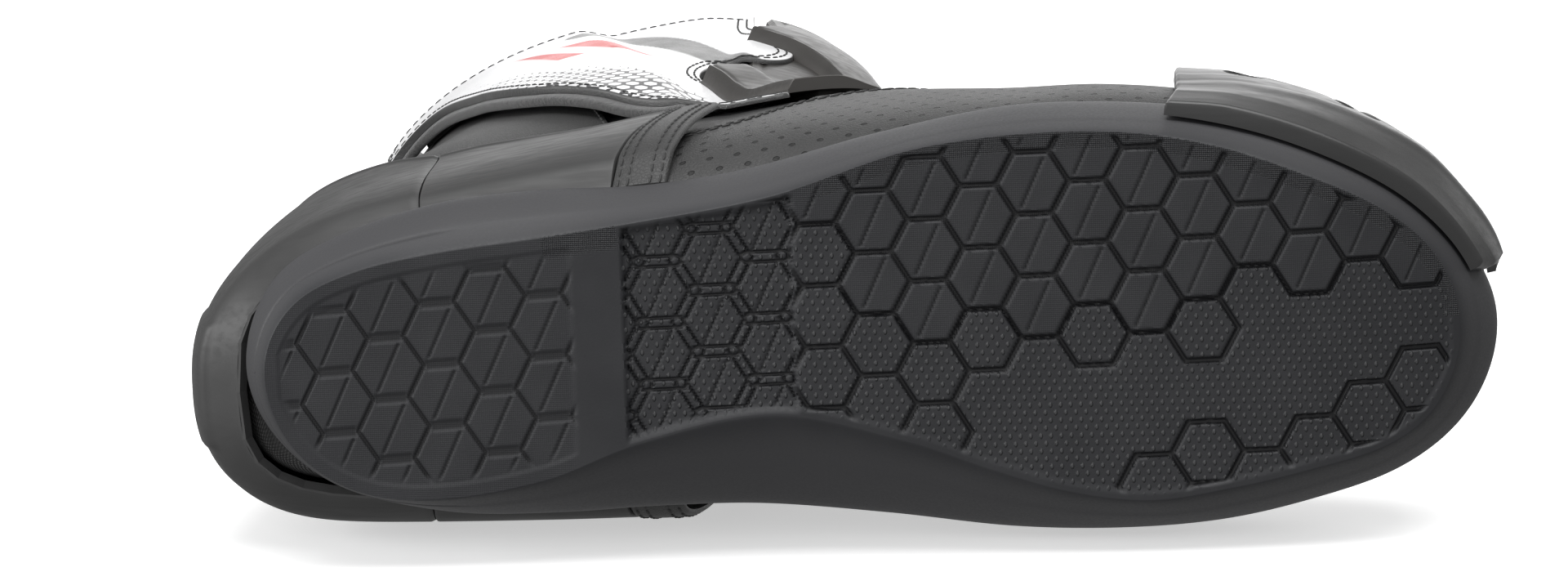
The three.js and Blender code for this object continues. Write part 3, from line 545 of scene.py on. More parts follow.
def rubber():
    """Moulded sole rubber: fine hatching on the blocks, pips where dots is 1, knurl where knurl is 1."""
    p = Paint("sole_rubber", Roughness=0.55)
    place = p.object_mm()
    x, y, _ = p.split(place)
    block, dots, knurl = p.value_of("block"), p.value_of("dots"), p.value_of("knurl")
    hatch_pitch, pip_pitch, pip_rows = 0.95, 2.4, 3.7
    hatch = p.wave("SINE", p.math("ADD", x, y), hatch_pitch)
    cross = p.wave("SINE", p.math("SUBTRACT", x, y), hatch_pitch)
    grip = p.math("MULTIPLY", hatch, cross)

    def pip_grid(shift):
        across = p.wave("COSINE", p.math("ADD", x, shift * pip_pitch / 2), pip_pitch)
        along = p.wave("COSINE", p.math("ADD", y, shift * pip_rows / 2), pip_rows)
        return p.math("MULTIPLY", p.math("ADD", across, along), 0.5)

    # Two grids, half a pitch apart, make staggered rows.
    pips = p.step(p.math("MAXIMUM", pip_grid(0), pip_grid(1)), 0.62, 0.97)
    pips = p.math("MULTIPLY", pips, dots)
    bloom = p.noise(place, 0.05, 4.0)
    speck = p.noise(place, 1.6, 2.0)
    base = p.mix(p.step(bloom, 0.3, 0.75), (0.0182, 0.0187, 0.0215, 1), (0.026, 0.0265, 0.0295, 1))
    # Painted shade: the grooves are painted near black as well as cut into the rubber.
    deep = p.mix(p.value_of("groove"), base, (0.006, 0.006, 0.0075, 1))
    # Painted highlight: the raised pips are painted lighter on top than the rubber around them.
    lit = p.mix(p.math("MULTIPLY", pips, 0.5), deep, (0.085, 0.086, 0.088, 1))
    wall = p.mix(p.value_of("wall"), lit, (0.041, 0.041, 0.044, 1))
    rough = p.math("ADD", p.step(speck, 0.2, 0.8, 0.5, 0.62), p.math("MULTIPLY", block, 0.05))
    height = p.math("ADD", p.math("MULTIPLY", grip, p.math("MULTIPLY", block, 0.05)), pips)
    height = p.math("ADD", height, p.math("MULTIPLY", grip, p.math("MULTIPLY", knurl, 0.35)))
    height = p.math("ADD", height, p.math("MULTIPLY", speck, 0.05))
    return p.finish(wall, rough, p.bump(height, 0.45))


def leather(name, tone=0.024, warm=0.0, holes=False):
    """Coated microfibre: a fine pebbled grain, painted a little lighter at its edges as a highlight."""
    p = Paint(name, Roughness=0.5)
    place = p.object_mm()
    grain = p.cells(place, 0.95, "DISTANCE_TO_EDGE")
    fine = p.noise(place, 2.6, 4.0, 0.65)
    soft = p.noise(place, 0.035, 3.0)
    colour = p.mix(p.step(soft, 0.3, 0.75), grey(tone * 0.86, warm), grey(tone * 1.18, warm))
    # Painted highlight: the colour turns lighter within about a millimetre of each edge.
    colour = p.mix(p.step(p.value_of("edge"), 0.1, 1.1, 0.4, 0.0), colour, grey(tone * 2.4, warm))
    height = p.math("ADD", p.step(grain, 0.0, 0.16), p.math("MULTIPLY", fine, 0.9))
    rough = p.step(fine, 0.25, 0.75, 0.44, 0.6)
    if holes:
        across, along, _ = p.split(p.value_of("run", "Vector"))
        hole = perforation(p, across, along)
        # Painted shade: the perforations are painted near black, as the shade inside holes that are only bumped
        # in, not cut.
        colour = p.mix(hole, colour, (0.0015, 0.0015, 0.0015, 1))
        height = p.math("SUBTRACT", height, p.math("MULTIPLY", hole, 14.0))
    return p.finish(colour, rough, p.bump(height, 0.05))


HOLE_PITCH, HOLE_ROWS, HOLE_RADIUS = 7.0, 9.6, 0.78


def perforation(p, across, along):
    """1 inside round holes in staggered rows."""
    soft = 0.12
    squares = []
    for shift in (0, 1):
        a = p.math("POWER", p.folded(across, HOLE_PITCH, shift * HOLE_PITCH / 2), 2.0)
        b = p.math("POWER", p.folded(along, HOLE_ROWS, shift * HOLE_ROWS / 2), 2.0)
        squares.append(p.math("ADD", a, b))
    distance = p.math("SQRT", p.math("MINIMUM", *squares))
    return p.step(distance, HOLE_RADIUS - soft, HOLE_RADIUS + soft, 1.0, 0.0)


def plastic(name, tone, rough, warm=0.0, rim_highlight=1.9, grain=0.02):
    """Moulded shell: a fine satin texture, painted slightly lighter along its edges as a highlight."""
    p = Paint(name, Roughness=rough)
    place = p.object_mm()
    fine = p.noise(place, 3.2, 3.0, 0.6)
    cloud = p.noise(place, 0.03, 3.0)
    drawn_out = p.node("ShaderNodeVectorMath", {0: place, 1: (0.05, 0.5, 0.5)}, operation="MULTIPLY")
    scuffs = p.noise(drawn_out.outputs[0], 0.9, 2.0, 0.7)
    colour = p.mix(p.step(cloud, 0.3, 0.75), grey(tone * 0.9, warm), grey(tone * 1.12, warm))
    # Painted highlight: the shell is painted lighter within about a millimetre of each edge.
    colour = p.mix(p.step(p.value_of("edge"), 0.1, 1.3, 0.55, 0.0), colour, grey(tone * rim_highlight, warm))
    # Painted shade: the cut slots and screw recesses are painted near black.
    colour = p.mix(p.step(p.value_of("slot"), 0.35, 0.7), colour, (0.004, 0.004, 0.004, 1))
    roughness = p.step(scuffs, 0.35, 0.7, rough - 0.05, rough + 0.07)
    return p.finish(colour, roughness, p.bump(fine, grain))


FLAP_CELL = 4.3


def printed_flap():
    """White coated flap: a hexagon net that fades upwards, two red bars and a dark stripe."""
    p = Paint("flap_print", Roughness=0.38, Coat_Weight=0.25, Coat_Roughness=0.25)
    place = p.object_mm()
    x, z, _ = p.split(p.value_of("flat", "Vector"))
    rows = FLAP_CELL * math.sqrt(3)

    def reach_from(shift):
        """How far out a point lies in its hexagon, in a grid moved by half a cell times shift."""
        a = p.math("ABSOLUTE", p.folded(x, FLAP_CELL, shift * FLAP_CELL / 2))
        b = p.math("ABSOLUTE", p.folded(z, rows, shift * rows / 2))
        slant = p.math("ADD", p.math("MULTIPLY", a, 0.5), p.math("MULTIPLY", b, math.sqrt(3) / 2))
        return p.math("MAXIMUM", a, slant)

    reach = p.math("MINIMUM", reach_from(0), reach_from(1))
    bold = p.math("MULTIPLY", p.step(p.value_of("low"), 8, 52, 1.0, 0.0), p.step(x, 36, 92))
    torn = p.noise(place, 0.11, 4.0, 0.6)
    ragged = p.math("MULTIPLY", p.math("SUBTRACT", torn, 0.5), 0.55)
    bold = p.step(p.math("ADD", bold, ragged), 0.04, 0.9)
    width = p.math("SUBTRACT", FLAP_CELL / 2, p.math("MULTIPLY", bold, 0.62))
    net = p.step(p.math("SUBTRACT", reach, width), -0.12, 0.12)
    net = p.math("MULTIPLY", net, p.step(bold, 0.02, 0.22))
    cloud = p.step(p.noise(place, 0.05, 3.0), 0.3, 0.7)
    white = p.mix(cloud, (0.78, 0.78, 0.79, 1), (0.86, 0.86, 0.865, 1))
    colour = p.mix(net, white, (0.02, 0.02, 0.022, 1))
    colour = p.mix(p.value_of("bars"), colour, (0.5, 0.008, 0.008, 1))
    colour = p.mix(p.value_of("stripe"), colour, (0.012, 0.012, 0.012, 1))
    colour = p.mix(p.step(p.value_of("edge"), 0.25, 0.6, 1.0, 0.0), colour, (0.05, 0.05, 0.05, 1))
    grain = p.cells(place, 0.8, "DISTANCE_TO_EDGE")
    return p.finish(colour, p.step(torn, 0.3, 0.7, 0.34, 0.44), p.bump(p.step(grain, 0, 0.15), 0.04))


def woven(name, tone, pitch=0.9, warm=0.0):
    """Plain woven tape or mesh, with threads over and under."""
    p = Paint(name, Roughness=0.85, Sheen_Weight=0.25, Sheen_Roughness=0.5)
    place = p.object_mm()
    x, y, z = p.split(place)
    first = p.math("MULTIPLY", p.wave("SINE", p.math("ADD", x, y), pitch), p.wave("SINE", z, pitch))
    fuzz = p.noise(place, 2.2, 3.0, 0.7)
    # Painted light and shade: the colour follows the weave's relief, lighter on the raised threads and darker
    # in the dips.
    colour = p.mix(p.step(first, -0.6, 0.8), grey(tone * 0.55, warm), grey(tone * 1.5, warm))
    height = p.math("ADD", first, p.math("MULTIPLY", fuzz, 0.8))
    return p.finish(colour, p.step(fuzz, 0.2, 0.8, 0.78, 0.95), p.bump(height, 0.12))


def pile(name, tone):
    """Brushed loop pile on foam."""
    p = Paint(name, Roughness=0.95, Sheen_Weight=0.4, Sheen_Roughness=0.6)
    place = p.object_mm()
    tufts = p.noise(place, 1.1, 5.0, 0.75)
    # Painted light and shade: the pile is painted lighter on the high tufts and darker between them.
    colour = p.mix(p.step(tufts, 0.3, 0.7), grey(tone * 0.4), grey(tone * 2.2))
    return p.finish(colour, None, p.bump(tufts, 0.7))


def metal(name, tone, rough=0.32):
    p = Paint(name, Metallic=1.0, Roughness=rough)
    place = p.object_mm()
    fine = p.noise(place, 3.0, 3.0, 0.6)
    colour = p.mix(p.step(fine, 0.3, 0.7), grey(tone * 0.85), grey(tone * 1.1))
    return p.finish(colour, p.step(fine, 0.3, 0.7, rough - 0.06, rough + 0.1), p.bump(fine, 0.01))


def thread(name, tone):
    p = Paint(name, Roughness=0.7)
    twist = p.noise(p.object_mm(), 3.0, 2.0, 0.6)
    # Painted light and shade: the thread is painted lighter on the rises of its twist and darker in the dips.
    colour = p.mix(p.step(twist, 0.3, 0.7), grey(tone * 0.6), grey(tone * 1.5))
    return p.finish(colour, None, p.bump(twist, 0.1))


def foam(name, tone):
    p = Paint(name, Roughness=0.95)
    pores = p.cells(p.object_mm(), 1.4)
    # Painted shade: the pores are painted darker where they sink in.
    colour = p.mix(p.step(pores, 0.1, 0.6), grey(tone * 0.5), grey(tone))
    return p.finish(colour, None, p.bump(pores, 0.2))


RUBBER = rubber()
LEATHER = leather("microfibre", 0.026)
LEATHER_HOLES = leather("microfibre_perforated", 0.03, holes=True)
SHELL = plastic("heel_shell", 0.034, 0.5, rim_highlight=1.4)
SLIDER = plastic("toe_slider_plastic", 0.03, 0.34, rim_highlight=1.6)
SHIN = plastic("shin_plate_plastic", 0.036, 0.4, warm=0.06, rim_highlight=1.9)
PRINT = printed_flap()
PILE = pile("loop_pile", 0.02)
WEB = woven("webbing", 0.02, 1.0)
TAPE = woven("zip_tape", 0.024, 0.7)
MESH = woven("lining_mesh", 0.02, 1.3)
THREAD = thread("black_thread", 0.03)
SCREW = metal("zinc_screw", 0.55, 0.3)
NICKEL = metal("black_nickel", 0.22, 0.3)
STEEL = metal("spring_steel", 0.5, 0.35)
FOAM = foam("closed_cell_foam", 0.05)
BOARD = woven("insole_board", 0.12, 1.6, 0.1)


# ---------- The sole ----------
HEX = 8.5  # side of a tread hexagon
APOTHEM = HEX * math.sqrt(3) / 2
FORE = (171.4, -29.6, math.radians(-1.2))  # the middle of one cell, and the turn of the lattice
HEEL = (68.2, -5.8, math.radians(-2.8))
FORE_LEAN, HEEL_LEAN = math.radians(64), math.radians(62)
MIDDLE = 5  # a line along the sole, between its two edges
HEEL_STEP = 99.8  # the front face of the heel
HEEL_CELLS_END = 87.0
ARCH_END = 140
# The last smooth block of each row across the sole, and the outlined cells in the field of pips.
SMOOTH_ROWS = {-2: 0, -1: 1.5, 0: 2, 1: 1.5, 2: 2, 3: 1.5, 4: 2, 5: 1.5, 6: 1, 7: 1.5, 8: 1, 9: 1.5}
OUTLINED = {(5, 2), (7, 1), (6, 2), (4, 3), (9, -1), (8, 0), (5, 0), (3, 1), (0, 3), (1, 2)}
# Each side of a cell: which way it faces, and the cell beyond it.
SIDES = list(zip(
    [math.radians(v) for v in (30, 90, 150, 210, 270, 330)],
    [(1, 0), (0, 1), (-1, 1), (-1, 0), (0, -1), (1, -1)],
))


def hexagon(x, y, lattice):
    """For points in plan: the cell's q and r, and the place in the cell."""
    x0, y0, turn = lattice
    dx, dy = x - x0, y - y0
    a, b = dx * math.cos(turn) + dy * math.sin(turn), dy * math.cos(turn) - dx * math.sin(turn)
    q = a / (1.5 * HEX)
    r = b / (math.sqrt(3) * HEX) - q / 2
    cube = [q, r, -q - r]
    near = [np.round(c) for c in cube]
    error = [np.abs(n - c) for n, c in zip(near, cube)]
    near[0] = np.where((error[0] > error[1]) & (error[0] > error[2]), -near[1] - near[2], near[0])
    near[1] = np.where((error[1] > error[0]) & (error[1] >= error[2]), -near[0] - near[2], near[1])
    a = a - 1.5 * HEX * near[0]
    b = b - math.sqrt(3) * HEX * (near[1] + near[0] / 2)
    return near[0].astype(int), near[1].astype(int), a, b


def trench(distance, width, depth):
    """A groove with sloping sides."""
    return depth * (1 - smooth(np.abs(distance), width * 0.28, width * 0.72))


def cell_kind(q, r):
    """2 for a smooth block, 1 for an outlined cell of pips, 0 for the open field of pips."""
    smooth_to = np.vectorize(lambda k: SMOOTH_ROWS.get(int(k), -9.0 if k < 0 else 1.5))(q)
    flags = np.where(r + q / 2 <= smooth_to + 0.01, 2, 0)
    flags = np.where((flags == 0) & (q <= 0), 1, flags)
    for cell in OUTLINED:
        flags = np.where((flags == 0) & (q == cell[0]) & (r == cell[1]), 1, flags)
    return flags


def sipe(a, b, lean, width, start, end):
    """The slanted slit across a block, fading out from start to end of its half length."""
    beside = a * math.sin(lean) + b * math.cos(lean)
    along = np.abs(a * math.cos(lean) - b * math.sin(lean))
    return trench(beside, width, 0.4) * (1 - smooth(along, start, end))


def fore_relief(x, y, inside):
    """Ahead of the heel: depth, what is groove, pips and block. The arch has double lines and stands higher."""
    q, r, a, b = hexagon(x, y, FORE)
    kind = cell_kind(q, r)
    fore = smooth(x, HEEL_STEP - 0.3, HEEL_STEP + 0.5)
    arch = 1 - smooth(x, ARCH_END - 1, ARCH_END + 1)
    grooves = np.zeros_like(x)
    for turn, (dq, dr) in SIDES:
        gap = APOTHEM - (a * math.cos(turn) + b * math.sin(turn))
        open_field = (kind == 0) & (cell_kind(q + dq, r + dr) == 0)
        single = trench(gap, 1.25, 1.1) * (1 - arch)
        double = trench(gap - 1.2, 0.8, 0.75) * arch
        grooves = np.maximum(grooves, np.where(open_field, 0, single + double))
    slits = np.where((kind == 2) | ((kind == 1) & (arch > 0.5)), sipe(a, b, FORE_LEAN, 0.62, 6.2, 6.9), 0)
    block = np.where(kind == 2, 1.0, 0.0)
    field_edge = smooth(inside, 1.2, 3.2)
    rim = np.where(y < MIDDLE, smooth(inside, 0.4, 1.6), field_edge)
    depth = fore * (np.maximum(grooves, slits) * rim + (1 - block) * 0.35 * field_edge)
    depth += fore * arch * 0.9 * smooth(inside, 0.5, 2.5)
    dots = fore * (1 - block) * field_edge * (1 - smooth(grooves, 0.1, 0.45))
    return depth, smooth(np.maximum(grooves, slits * 1.5) * fore * rim, 0.3, 0.75), dots, block * fore


def heel_relief(x, y, inside):
    """Under the heel: depth, what is groove, and what is block."""
    _, _, a, b = hexagon(x, y, HEEL)
    heel = 1 - smooth(x, HEEL_CELLS_END - 0.6, HEEL_CELLS_END + 1.2)
    grooves = sipe(a, b, HEEL_LEAN, 0.7, 6.0, 7.0)
    for turn, _ in SIDES:
        gap = APOTHEM - (a * math.cos(turn) + b * math.sin(turn))
        beside = b * math.cos(turn) - a * math.sin(turn)
        faces_edge = abs(math.cos(turn)) < 0.1
        wide = trench(gap, 2.4, 0.4) * (1 - smooth(np.abs(beside), 3.4, 4.2))
        grooves = np.maximum(grooves, wide if faces_edge else trench(gap, 1.0, 0.6))
    grooves = grooves * heel * smooth(inside, 3.2, 6.4)
    return grooves + 0.25 * heel * smooth(inside, 2.6, 4.0), smooth(grooves, 0.2, 0.55), heel


def tread_relief(x, y, inside):
    """Depth into the sole and the paint values over the whole tread, in plan."""
    fore_depth, fore_groove, dots, block = fore_relief(x, y, inside)
    heel_depth, heel_groove, heel = heel_relief(x, y, inside)
    groove = np.clip(fore_groove + heel_groove, 0, 1)
    lateral_edge = (y < MIDDLE) & (x > ARCH_END)
    knurl = np.where(lateral_edge, 1 - smooth(inside, 3.4, 4.2), 0.0) * smooth(x, ARCH_END, ARCH_END + 10)
    corner = (np.hypot(x - 90, y + 19) < 9) * (1 - smooth(inside, 4, 6))
    knurl = np.clip(np.maximum(knurl, corner), 0, 1) * (1 - groove)
    values = {"dots": dots, "groove": groove, "knurl": knurl, "block": np.maximum(block, heel)}
    return fore_depth + heel_depth, values


def across_sole(lateral, medial, cols, amount=0.55):
    """Plan x and y from the lateral to the medial outline, and the share across."""
    u = eased(cols, amount)[None, :]
    return lateral[:, :1] * np.ones_like(u), lateral[:, 1:] * (1 - u) + medial[:, 1:] * u, u


def from_outline(lateral, medial, x, y):
    """How far plan points lie inside the tread's outline."""
    near = [
        np.abs(y - edge[:, 1:]) / np.sqrt(1 + np.gradient(edge[:, 1], edge[:, 0]) ** 2)[:, None]
        for edge in (lateral, medial)
    ]
    return np.min([*near, x - TREAD[0, 0], TREAD[-1, 0] - x], axis=0)


def wall_rings(t):
    """Rings up the wall from the tread, with the heel's parting line, then over the lip and down inside."""
    profile = [
        (0.0, 0.0), (0.03, 0.012), (0.09, 0.045), (0.17, 0.1), (0.28, 0.18), (0.38, 0.25), (0.42, 0.28),
        (0.44, 0.292), (0.452, 0.3), (0.464, 0.308), (0.484, 0.32), (0.53, 0.35), (0.62, 0.43), (0.74, 0.55),
        (0.84, 0.66), (0.915, 0.76), (0.968, 0.86), (0.995, 0.94), (1.0, 0.975),
    ]
    lips = [(0.25, 0.99), (0.8, 1.0), (1.6, 1.0), (3.2, 0.995), (4.0, 0.97)]
    parting_at, parting_depth, floor_inset, floor_height = 0.3, 0.8, 3.0, 9.2

    def wall(side, share, height):
        plan = outline(TREAD, t, side) * (1 - share) + outline(WALL, t, side) * share
        ground, top = rise(plan[:, 0]), wall_top(plan[:, 0])
        parting = np.exp(-((height - parting_at) / 0.008) ** 2) * (1 - smooth(plan[:, 0], 50, 62))
        plan = plan - np.stack([np.zeros(len(plan)), side * parting * parting_depth], -1)
        return np.column_stack([plan, ground + (top - ground) * height])

    def lip(side, inset, height):
        plan = outline(WALL, t, side, inset)
        return np.column_stack([plan, wall_top(plan[:, 0]) * height])

    def floor_of(side):
        plan = (outline(TREAD, t, side, floor_inset) + outline(WALL, t, side, floor_inset)) / 2
        return np.column_stack([plan, floor_height + rise(plan[:, 0])])

    calls = [(wall, step) for step in profile] + [(lip, step) for step in lips] + [(floor_of, ())]
    return np.array([np.concatenate([f(LATERAL, *step), f(MEDIAL, *step)[::-1]]) for f, step in calls])


def outsole():
    rows, cols = 900, 240
    t = np.linspace(0, 1, rows) * 0.998 + 0.001
    lateral, medial = outline(TREAD, t, LATERAL), outline(TREAD, t, MEDIAL)
    x, y, _ = across_sole(lateral, medial, cols, 0.25)
    inside = from_outline(lateral, medial, x, y)
    depth, values = tread_relief(x, y, inside)
    tread = np.stack([x, y, rise(x) + depth * smooth(inside, 0, 0.5)], -1)
    rings = wall_rings(t)
    height, count = rings.shape[:2]
    wall_start = rows * cols
    last = wall_start + (height - 1) * count
    k = np.arange(rows - 1)
    cap = np.stack([last + k, last + k + 1, last + count - 2 - k, last + count - 1 - k], -1)
    points = np.concatenate([tread.reshape(-1, 3), rings.reshape(-1, 3)])
    faces = np.concatenate([grid_faces(rows, cols), grid_faces(height, count, wall_start, wrap=True), cap])
    paint = {key: np.concatenate([v.ravel(), np.zeros(height * count)]) for key, v in values.items()}
    wall = np.repeat(smooth(np.arange(height), 1, 5), count)
    paint["wall"] = np.concatenate([np.zeros(rows * cols), wall])
    add_mesh("outsole_rubber", points, faces, "foot", RUBBER, paint, ["outsole"], "sole_rubber", sharp=60)


def footbed():
    """A cupped sheet, rounded at its rim, that lies on the insole board."""
    top, bottom = 21.3, 17.8
    t = np.linspace(0.004, 0.996, 90)
    inset = 7.8 + 8 * smooth(t, 0.55, 0.75)
    lateral, medial = outline(WALL, t, LATERAL, inset), outline(WALL, t, MEDIAL, inset)
    x, y, u = across_sole(lateral, medial, 26)
    edge = np.minimum(u, 1 - u) * (medial[:, 1:] - lateral[:, 1:])
    cup = -0.9 * smooth(edge, 2, 14) - 1.4 * (1 - smooth(edge, 0, 1.2))
    points, faces = sheet_mesh(
        np.stack([x, y, top + rise(x) + cup], -1), np.stack([x, y, bottom + rise(x)], -1),
    )
    add_mesh("footbed_cover", points, faces, "foot", MESH, None, ["footbed"], "lining_textile")


# ---------- Toe ----------
def toe_box():
    """The cap over the toes, with a pressed line beside its rear edge."""
    rows, cols, rear_edge, row_length = 70, 130, 5.05, 23
    s = (eased(rows, 0.2) * rear_edge)[:, None]
    v = np.linspace(0, 1, cols)[None, :]
    x, top = front_ridge(s)[..., 0], front_ridge(s)[..., 1]
    low = np.maximum(wall_top(x) + 0.8, column(4, s) + 1)
    z = low + (top - low) * np.sin(v * math.pi)
    base = skin_point(*locate(x, z, np.where(v < 0.5, LATERAL, MEDIAL)))
    inwards = unit(np.array([258, 7, 32]) - base)
    rear = np.abs(s - rear_edge) * row_length
    line_depth = 0.55 * (1 - smooth(np.abs(rear - 5.0), 0.2, 0.8))
    points, faces = sheet_mesh(base + inwards * (0.1 + line_depth)[..., None], base + inwards * 2.2)
    values = doubled({"edge": np.broadcast_to(rear, (rows, cols))})
    add_mesh("toe_cover", points, faces, "foot", LEATHER, values, ["toe_box"], "microfibre")


SLIDER_FROM, SLIDER_TO = 231.0, 303.5
SLIDER_TOP = line([228, 53], [243, 57], [262, 55], [284, 49], [303.5, 37])
SCREWS = [("front", (284, 39)), ("rear", (247, 42))]
# Cuts in the slider's face: start, end and width.
SLOTS = [
    ([253, 46.5], [263, 46.5], 1.2), ([263, 46.5], [270, 34], 0.9), ([268.5, 46], [275, 34], 1.5),
]


def wall_point(x, share, lift):
    """Points off the rubber wall: share 0 at the tread edge and 1 at the top of the wall."""
    t = np.arccos(1 - 2 * (x - WALL[0, 0]) / (TOE_END - WALL[0, 0])) / math.pi
    lowest = 0.16

    def at(n):
        across = share[..., None]
        return outline(TREAD, n, LATERAL) * (1 - across) + outline(WALL, n, LATERAL) * across

    here, step = at(t), at(t + 0.002) - at(t - 0.002)
    out = unit(np.stack([step[..., 1], -step[..., 0]], -1))
    ground = rise(here[..., 0])
    up = (share - lowest) / (1 - lowest)
    z = ground + 2 + (wall_top(here[..., 0]) - 4 - ground) * up
    return np.concatenate([here + out * np.asarray(lift)[..., None], z[..., None]], -1)


def toe_slider():
    """A hard shell over the lateral side of the toe, wrapped down onto the rubber wall."""
    u = eased(180, 0.3)[:, None]
    v = eased(120, 0.3)[None, :]
    x = (SLIDER_FROM + (SLIDER_TO - SLIDER_FROM) * u) * np.ones_like(v)
    split = 2 / 7  # the share of its height that lies on the wall
    low = wall_top(x) + 4.6
    high = SLIDER_TOP(u[:, 0])[:, 1][:, None]
    z = low + (high - low) * np.clip((v - split) / (1 - split), 0, 1)
    s, angle = locate(x, z, LATERAL)
    base, normal = skin_point(s, angle), skin_normal(s, angle)
    share = np.clip(0.45 + 0.5 * v / split, 0.45, 0.97) * np.ones_like(x)

    def layer(lift):
        lift = np.broadcast_to(lift, x.shape)
        upper = base + normal * lift[..., None]
        lower = wall_point(x, share, lift)
        blend = smooth(v, split * 0.75, split * 1.3)[..., None] * np.ones_like(upper)
        return lower * (1 - blend) + upper * blend

    down, right = travels(layer(3.0))
    edge = np.min([down, down[-1:] - down, right, right[:, -1:] - right], axis=0)
    # The slot mask covers the cuts and the screw recesses; the shell's material paints it near black as shade.
    slot = np.zeros_like(x)
    for (x0, z0), (x1, z1), width in SLOTS:
        long, tall = x1 - x0, z1 - z0
        a = np.clip(((x - x0) * long + (z - z0) * tall) / (long ** 2 + tall ** 2), 0, 1)
        gap = np.hypot(x - x0 - a * long, z - z0 - a * tall)
        slot = np.maximum(slot, (1 - smooth(gap, width * 0.8, width * 1.5)) * (v >= split))
    for _, (x0, z0) in SCREWS:
        slot = np.maximum(slot, 1 - smooth(np.hypot(x - x0, z - z0), 4.4, 5.1))
    swell = smooth(u, 0, 0.2) * (1 - smooth(u, 0.75, 1))
    crest = 0.5 * np.exp(-((v - 0.34) / 0.03) ** 2)
    lift = 5.0 + swell - rim_fall(edge, 1.1) - 1.4 * slot + crest
    points, faces = sheet_mesh(layer(lift), layer(1.7))
    values = doubled({"edge": np.minimum(edge, 9), "slot": slot})
    add_mesh("toe_slider_shell", points, faces, "foot", SLIDER, values, ["toe_slider"], "moulded_shell")


def frame_at(point, side, lift):
    """A matrix on the skin whose z axis points out of the boot."""
    s, angle = locate(point[0], point[1], side)
    base, out = skin_point(s, angle), unit(skin_normal(s, angle))
    turn = Vector(out).to_track_quat("Z", "X").to_matrix()
    return np.array(turn), base + out * lift


def slider_screws():
    """Lathe pieces with a six-lobed socket. The profile gives radius, height and the depth of the lobes."""
    profile = [
        (2.0, -11.5, 0), (2.0, 0.0, 0), (3.9, 0.0, 0), (4.0, 0.15, 0), (4.0, 0.75, 0), (3.7, 1.2, 0),
        (3.1, 1.5, 0), (2.2, 1.6, 0), (1.55, 1.6, 0.16), (1.4, 1.45, 0.16), (1.35, 0.4, 0.16), (0.4, 0.35, 0),
    ]
    head_lift, steps = 3.1, 48
    angles = np.linspace(0, 2 * math.pi, steps, endpoint=False)
    rings = []
    for r, z, lobe in profile:
        radius = r * (1 + lobe * np.cos(6 * angles))
        rings.append(np.column_stack([radius * np.cos(angles), radius * np.sin(angles), np.full(steps, z)]))
    for place, point in SCREWS:
        turn, origin = frame_at(point, LATERAL, head_lift)
        points = np.concatenate(rings) @ turn.T + origin
        add_mesh(f"slider_bolt_{place}", points, tube_faces(len(profile), steps), "foot", SCREW,
                 stands_for=[f"slider_screw_{place}"], slot="screw_steel")


# ---------- The foot's panels ----------
ANKLE = (85, 105)  # the flex axis
VAMP_TOP = line([235.8, 78], [214, 88], [197, 103], [168, 92], [141, 80.5], [127, 61.5], [110, 51])


NAMED_SIDES = ((LATERAL, "lateral"), (MEDIAL, "medial"))


def closer_at_top(count):
    return np.sin(np.linspace(0, 1, count) * math.pi / 2)


def vamp():
    for side, name in NAMED_SIDES:
        patch = Patch(ruled(feather(236.4, 104), VAMP_TOP, 150, 60, closer_at_top), side, "013")
        shell(f"vamp_cover_{name}", patch, 0.0, -2.2, "foot", LEATHER_HOLES,
              stands_for=[f"vamp_{name}"], slot="microfibre")


def quarter():
    def ankle_arc(t):
        angle = np.radians(-70 - 64 * np.asarray(t, float))
        return np.stack([ANKLE[0] + 60 * np.cos(angle), ANKLE[1] + 60 * np.sin(angle)], -1)

    for side, name in NAMED_SIDES:
        patch = Patch(ruled(feather(106.5, 44), ankle_arc, 50, 24), side)
        shell(f"quarter_cover_{name}", patch, 0.0, -2.2, "foot", LEATHER,
              stands_for=[f"quarter_{name}"], slot="microfibre")


def heel_counter():
    edge = line([49.6, 22.2], [49.6, 50], [49.6, 81])
    patch = Patch(*wrapped(edge, ridge(back_ridge, 11.45, 14.8), 90, 150))
    z, y = patch.z, patch.base[..., 1]
    seat = 4.2 * (1 - smooth(patch.down, 0, 13))
    bumper = smooth(z, 29, 31) * (1 - smooth(z, 50, 53)) * (1 - smooth(np.abs(y - 19), 13, 15))
    lip = 0.35 * np.exp(-((patch.gaps[1] - 2.2) / 1.0) ** 2)
    outer = 3.8 - seat + 0.8 * bumper + lip
    # The lower edge runs into the sole, so it isn't rounded or painted with the edge highlight.
    patch.edge = np.where(patch.down < 0.01, 9, patch.edge)
    shell("heel_counter_shell", patch, outer, np.minimum(1.0, outer - 1.2), "foot", SHELL, radius=0.5,
          stands_for=["heel_counter"], slot="moulded_shell")


def ankle_panels():
    top = line([107, 80], [98, 85], [80, 88], [62, 86], [50.1, 81])
    for side, name in NAMED_SIDES:
        patch = Patch(ruled(wall_line(96, 50.1, 1.2), top, 80, 60), side)
        seat = 3.2 * (1 - smooth(patch.right, 0, 10))
        rim = 0.35 * np.exp(-((patch.gaps[3] - 2.0) / 0.9) ** 2)
        outer = 3.8 + rim - seat
        shell(f"ankle_shell_{name}", patch, outer, np.minimum(1.6, outer - 1.2), "foot", SHELL, radius=0.5,
              stands_for=[f"ankle_panel_{name}"], slot="moulded_shell")


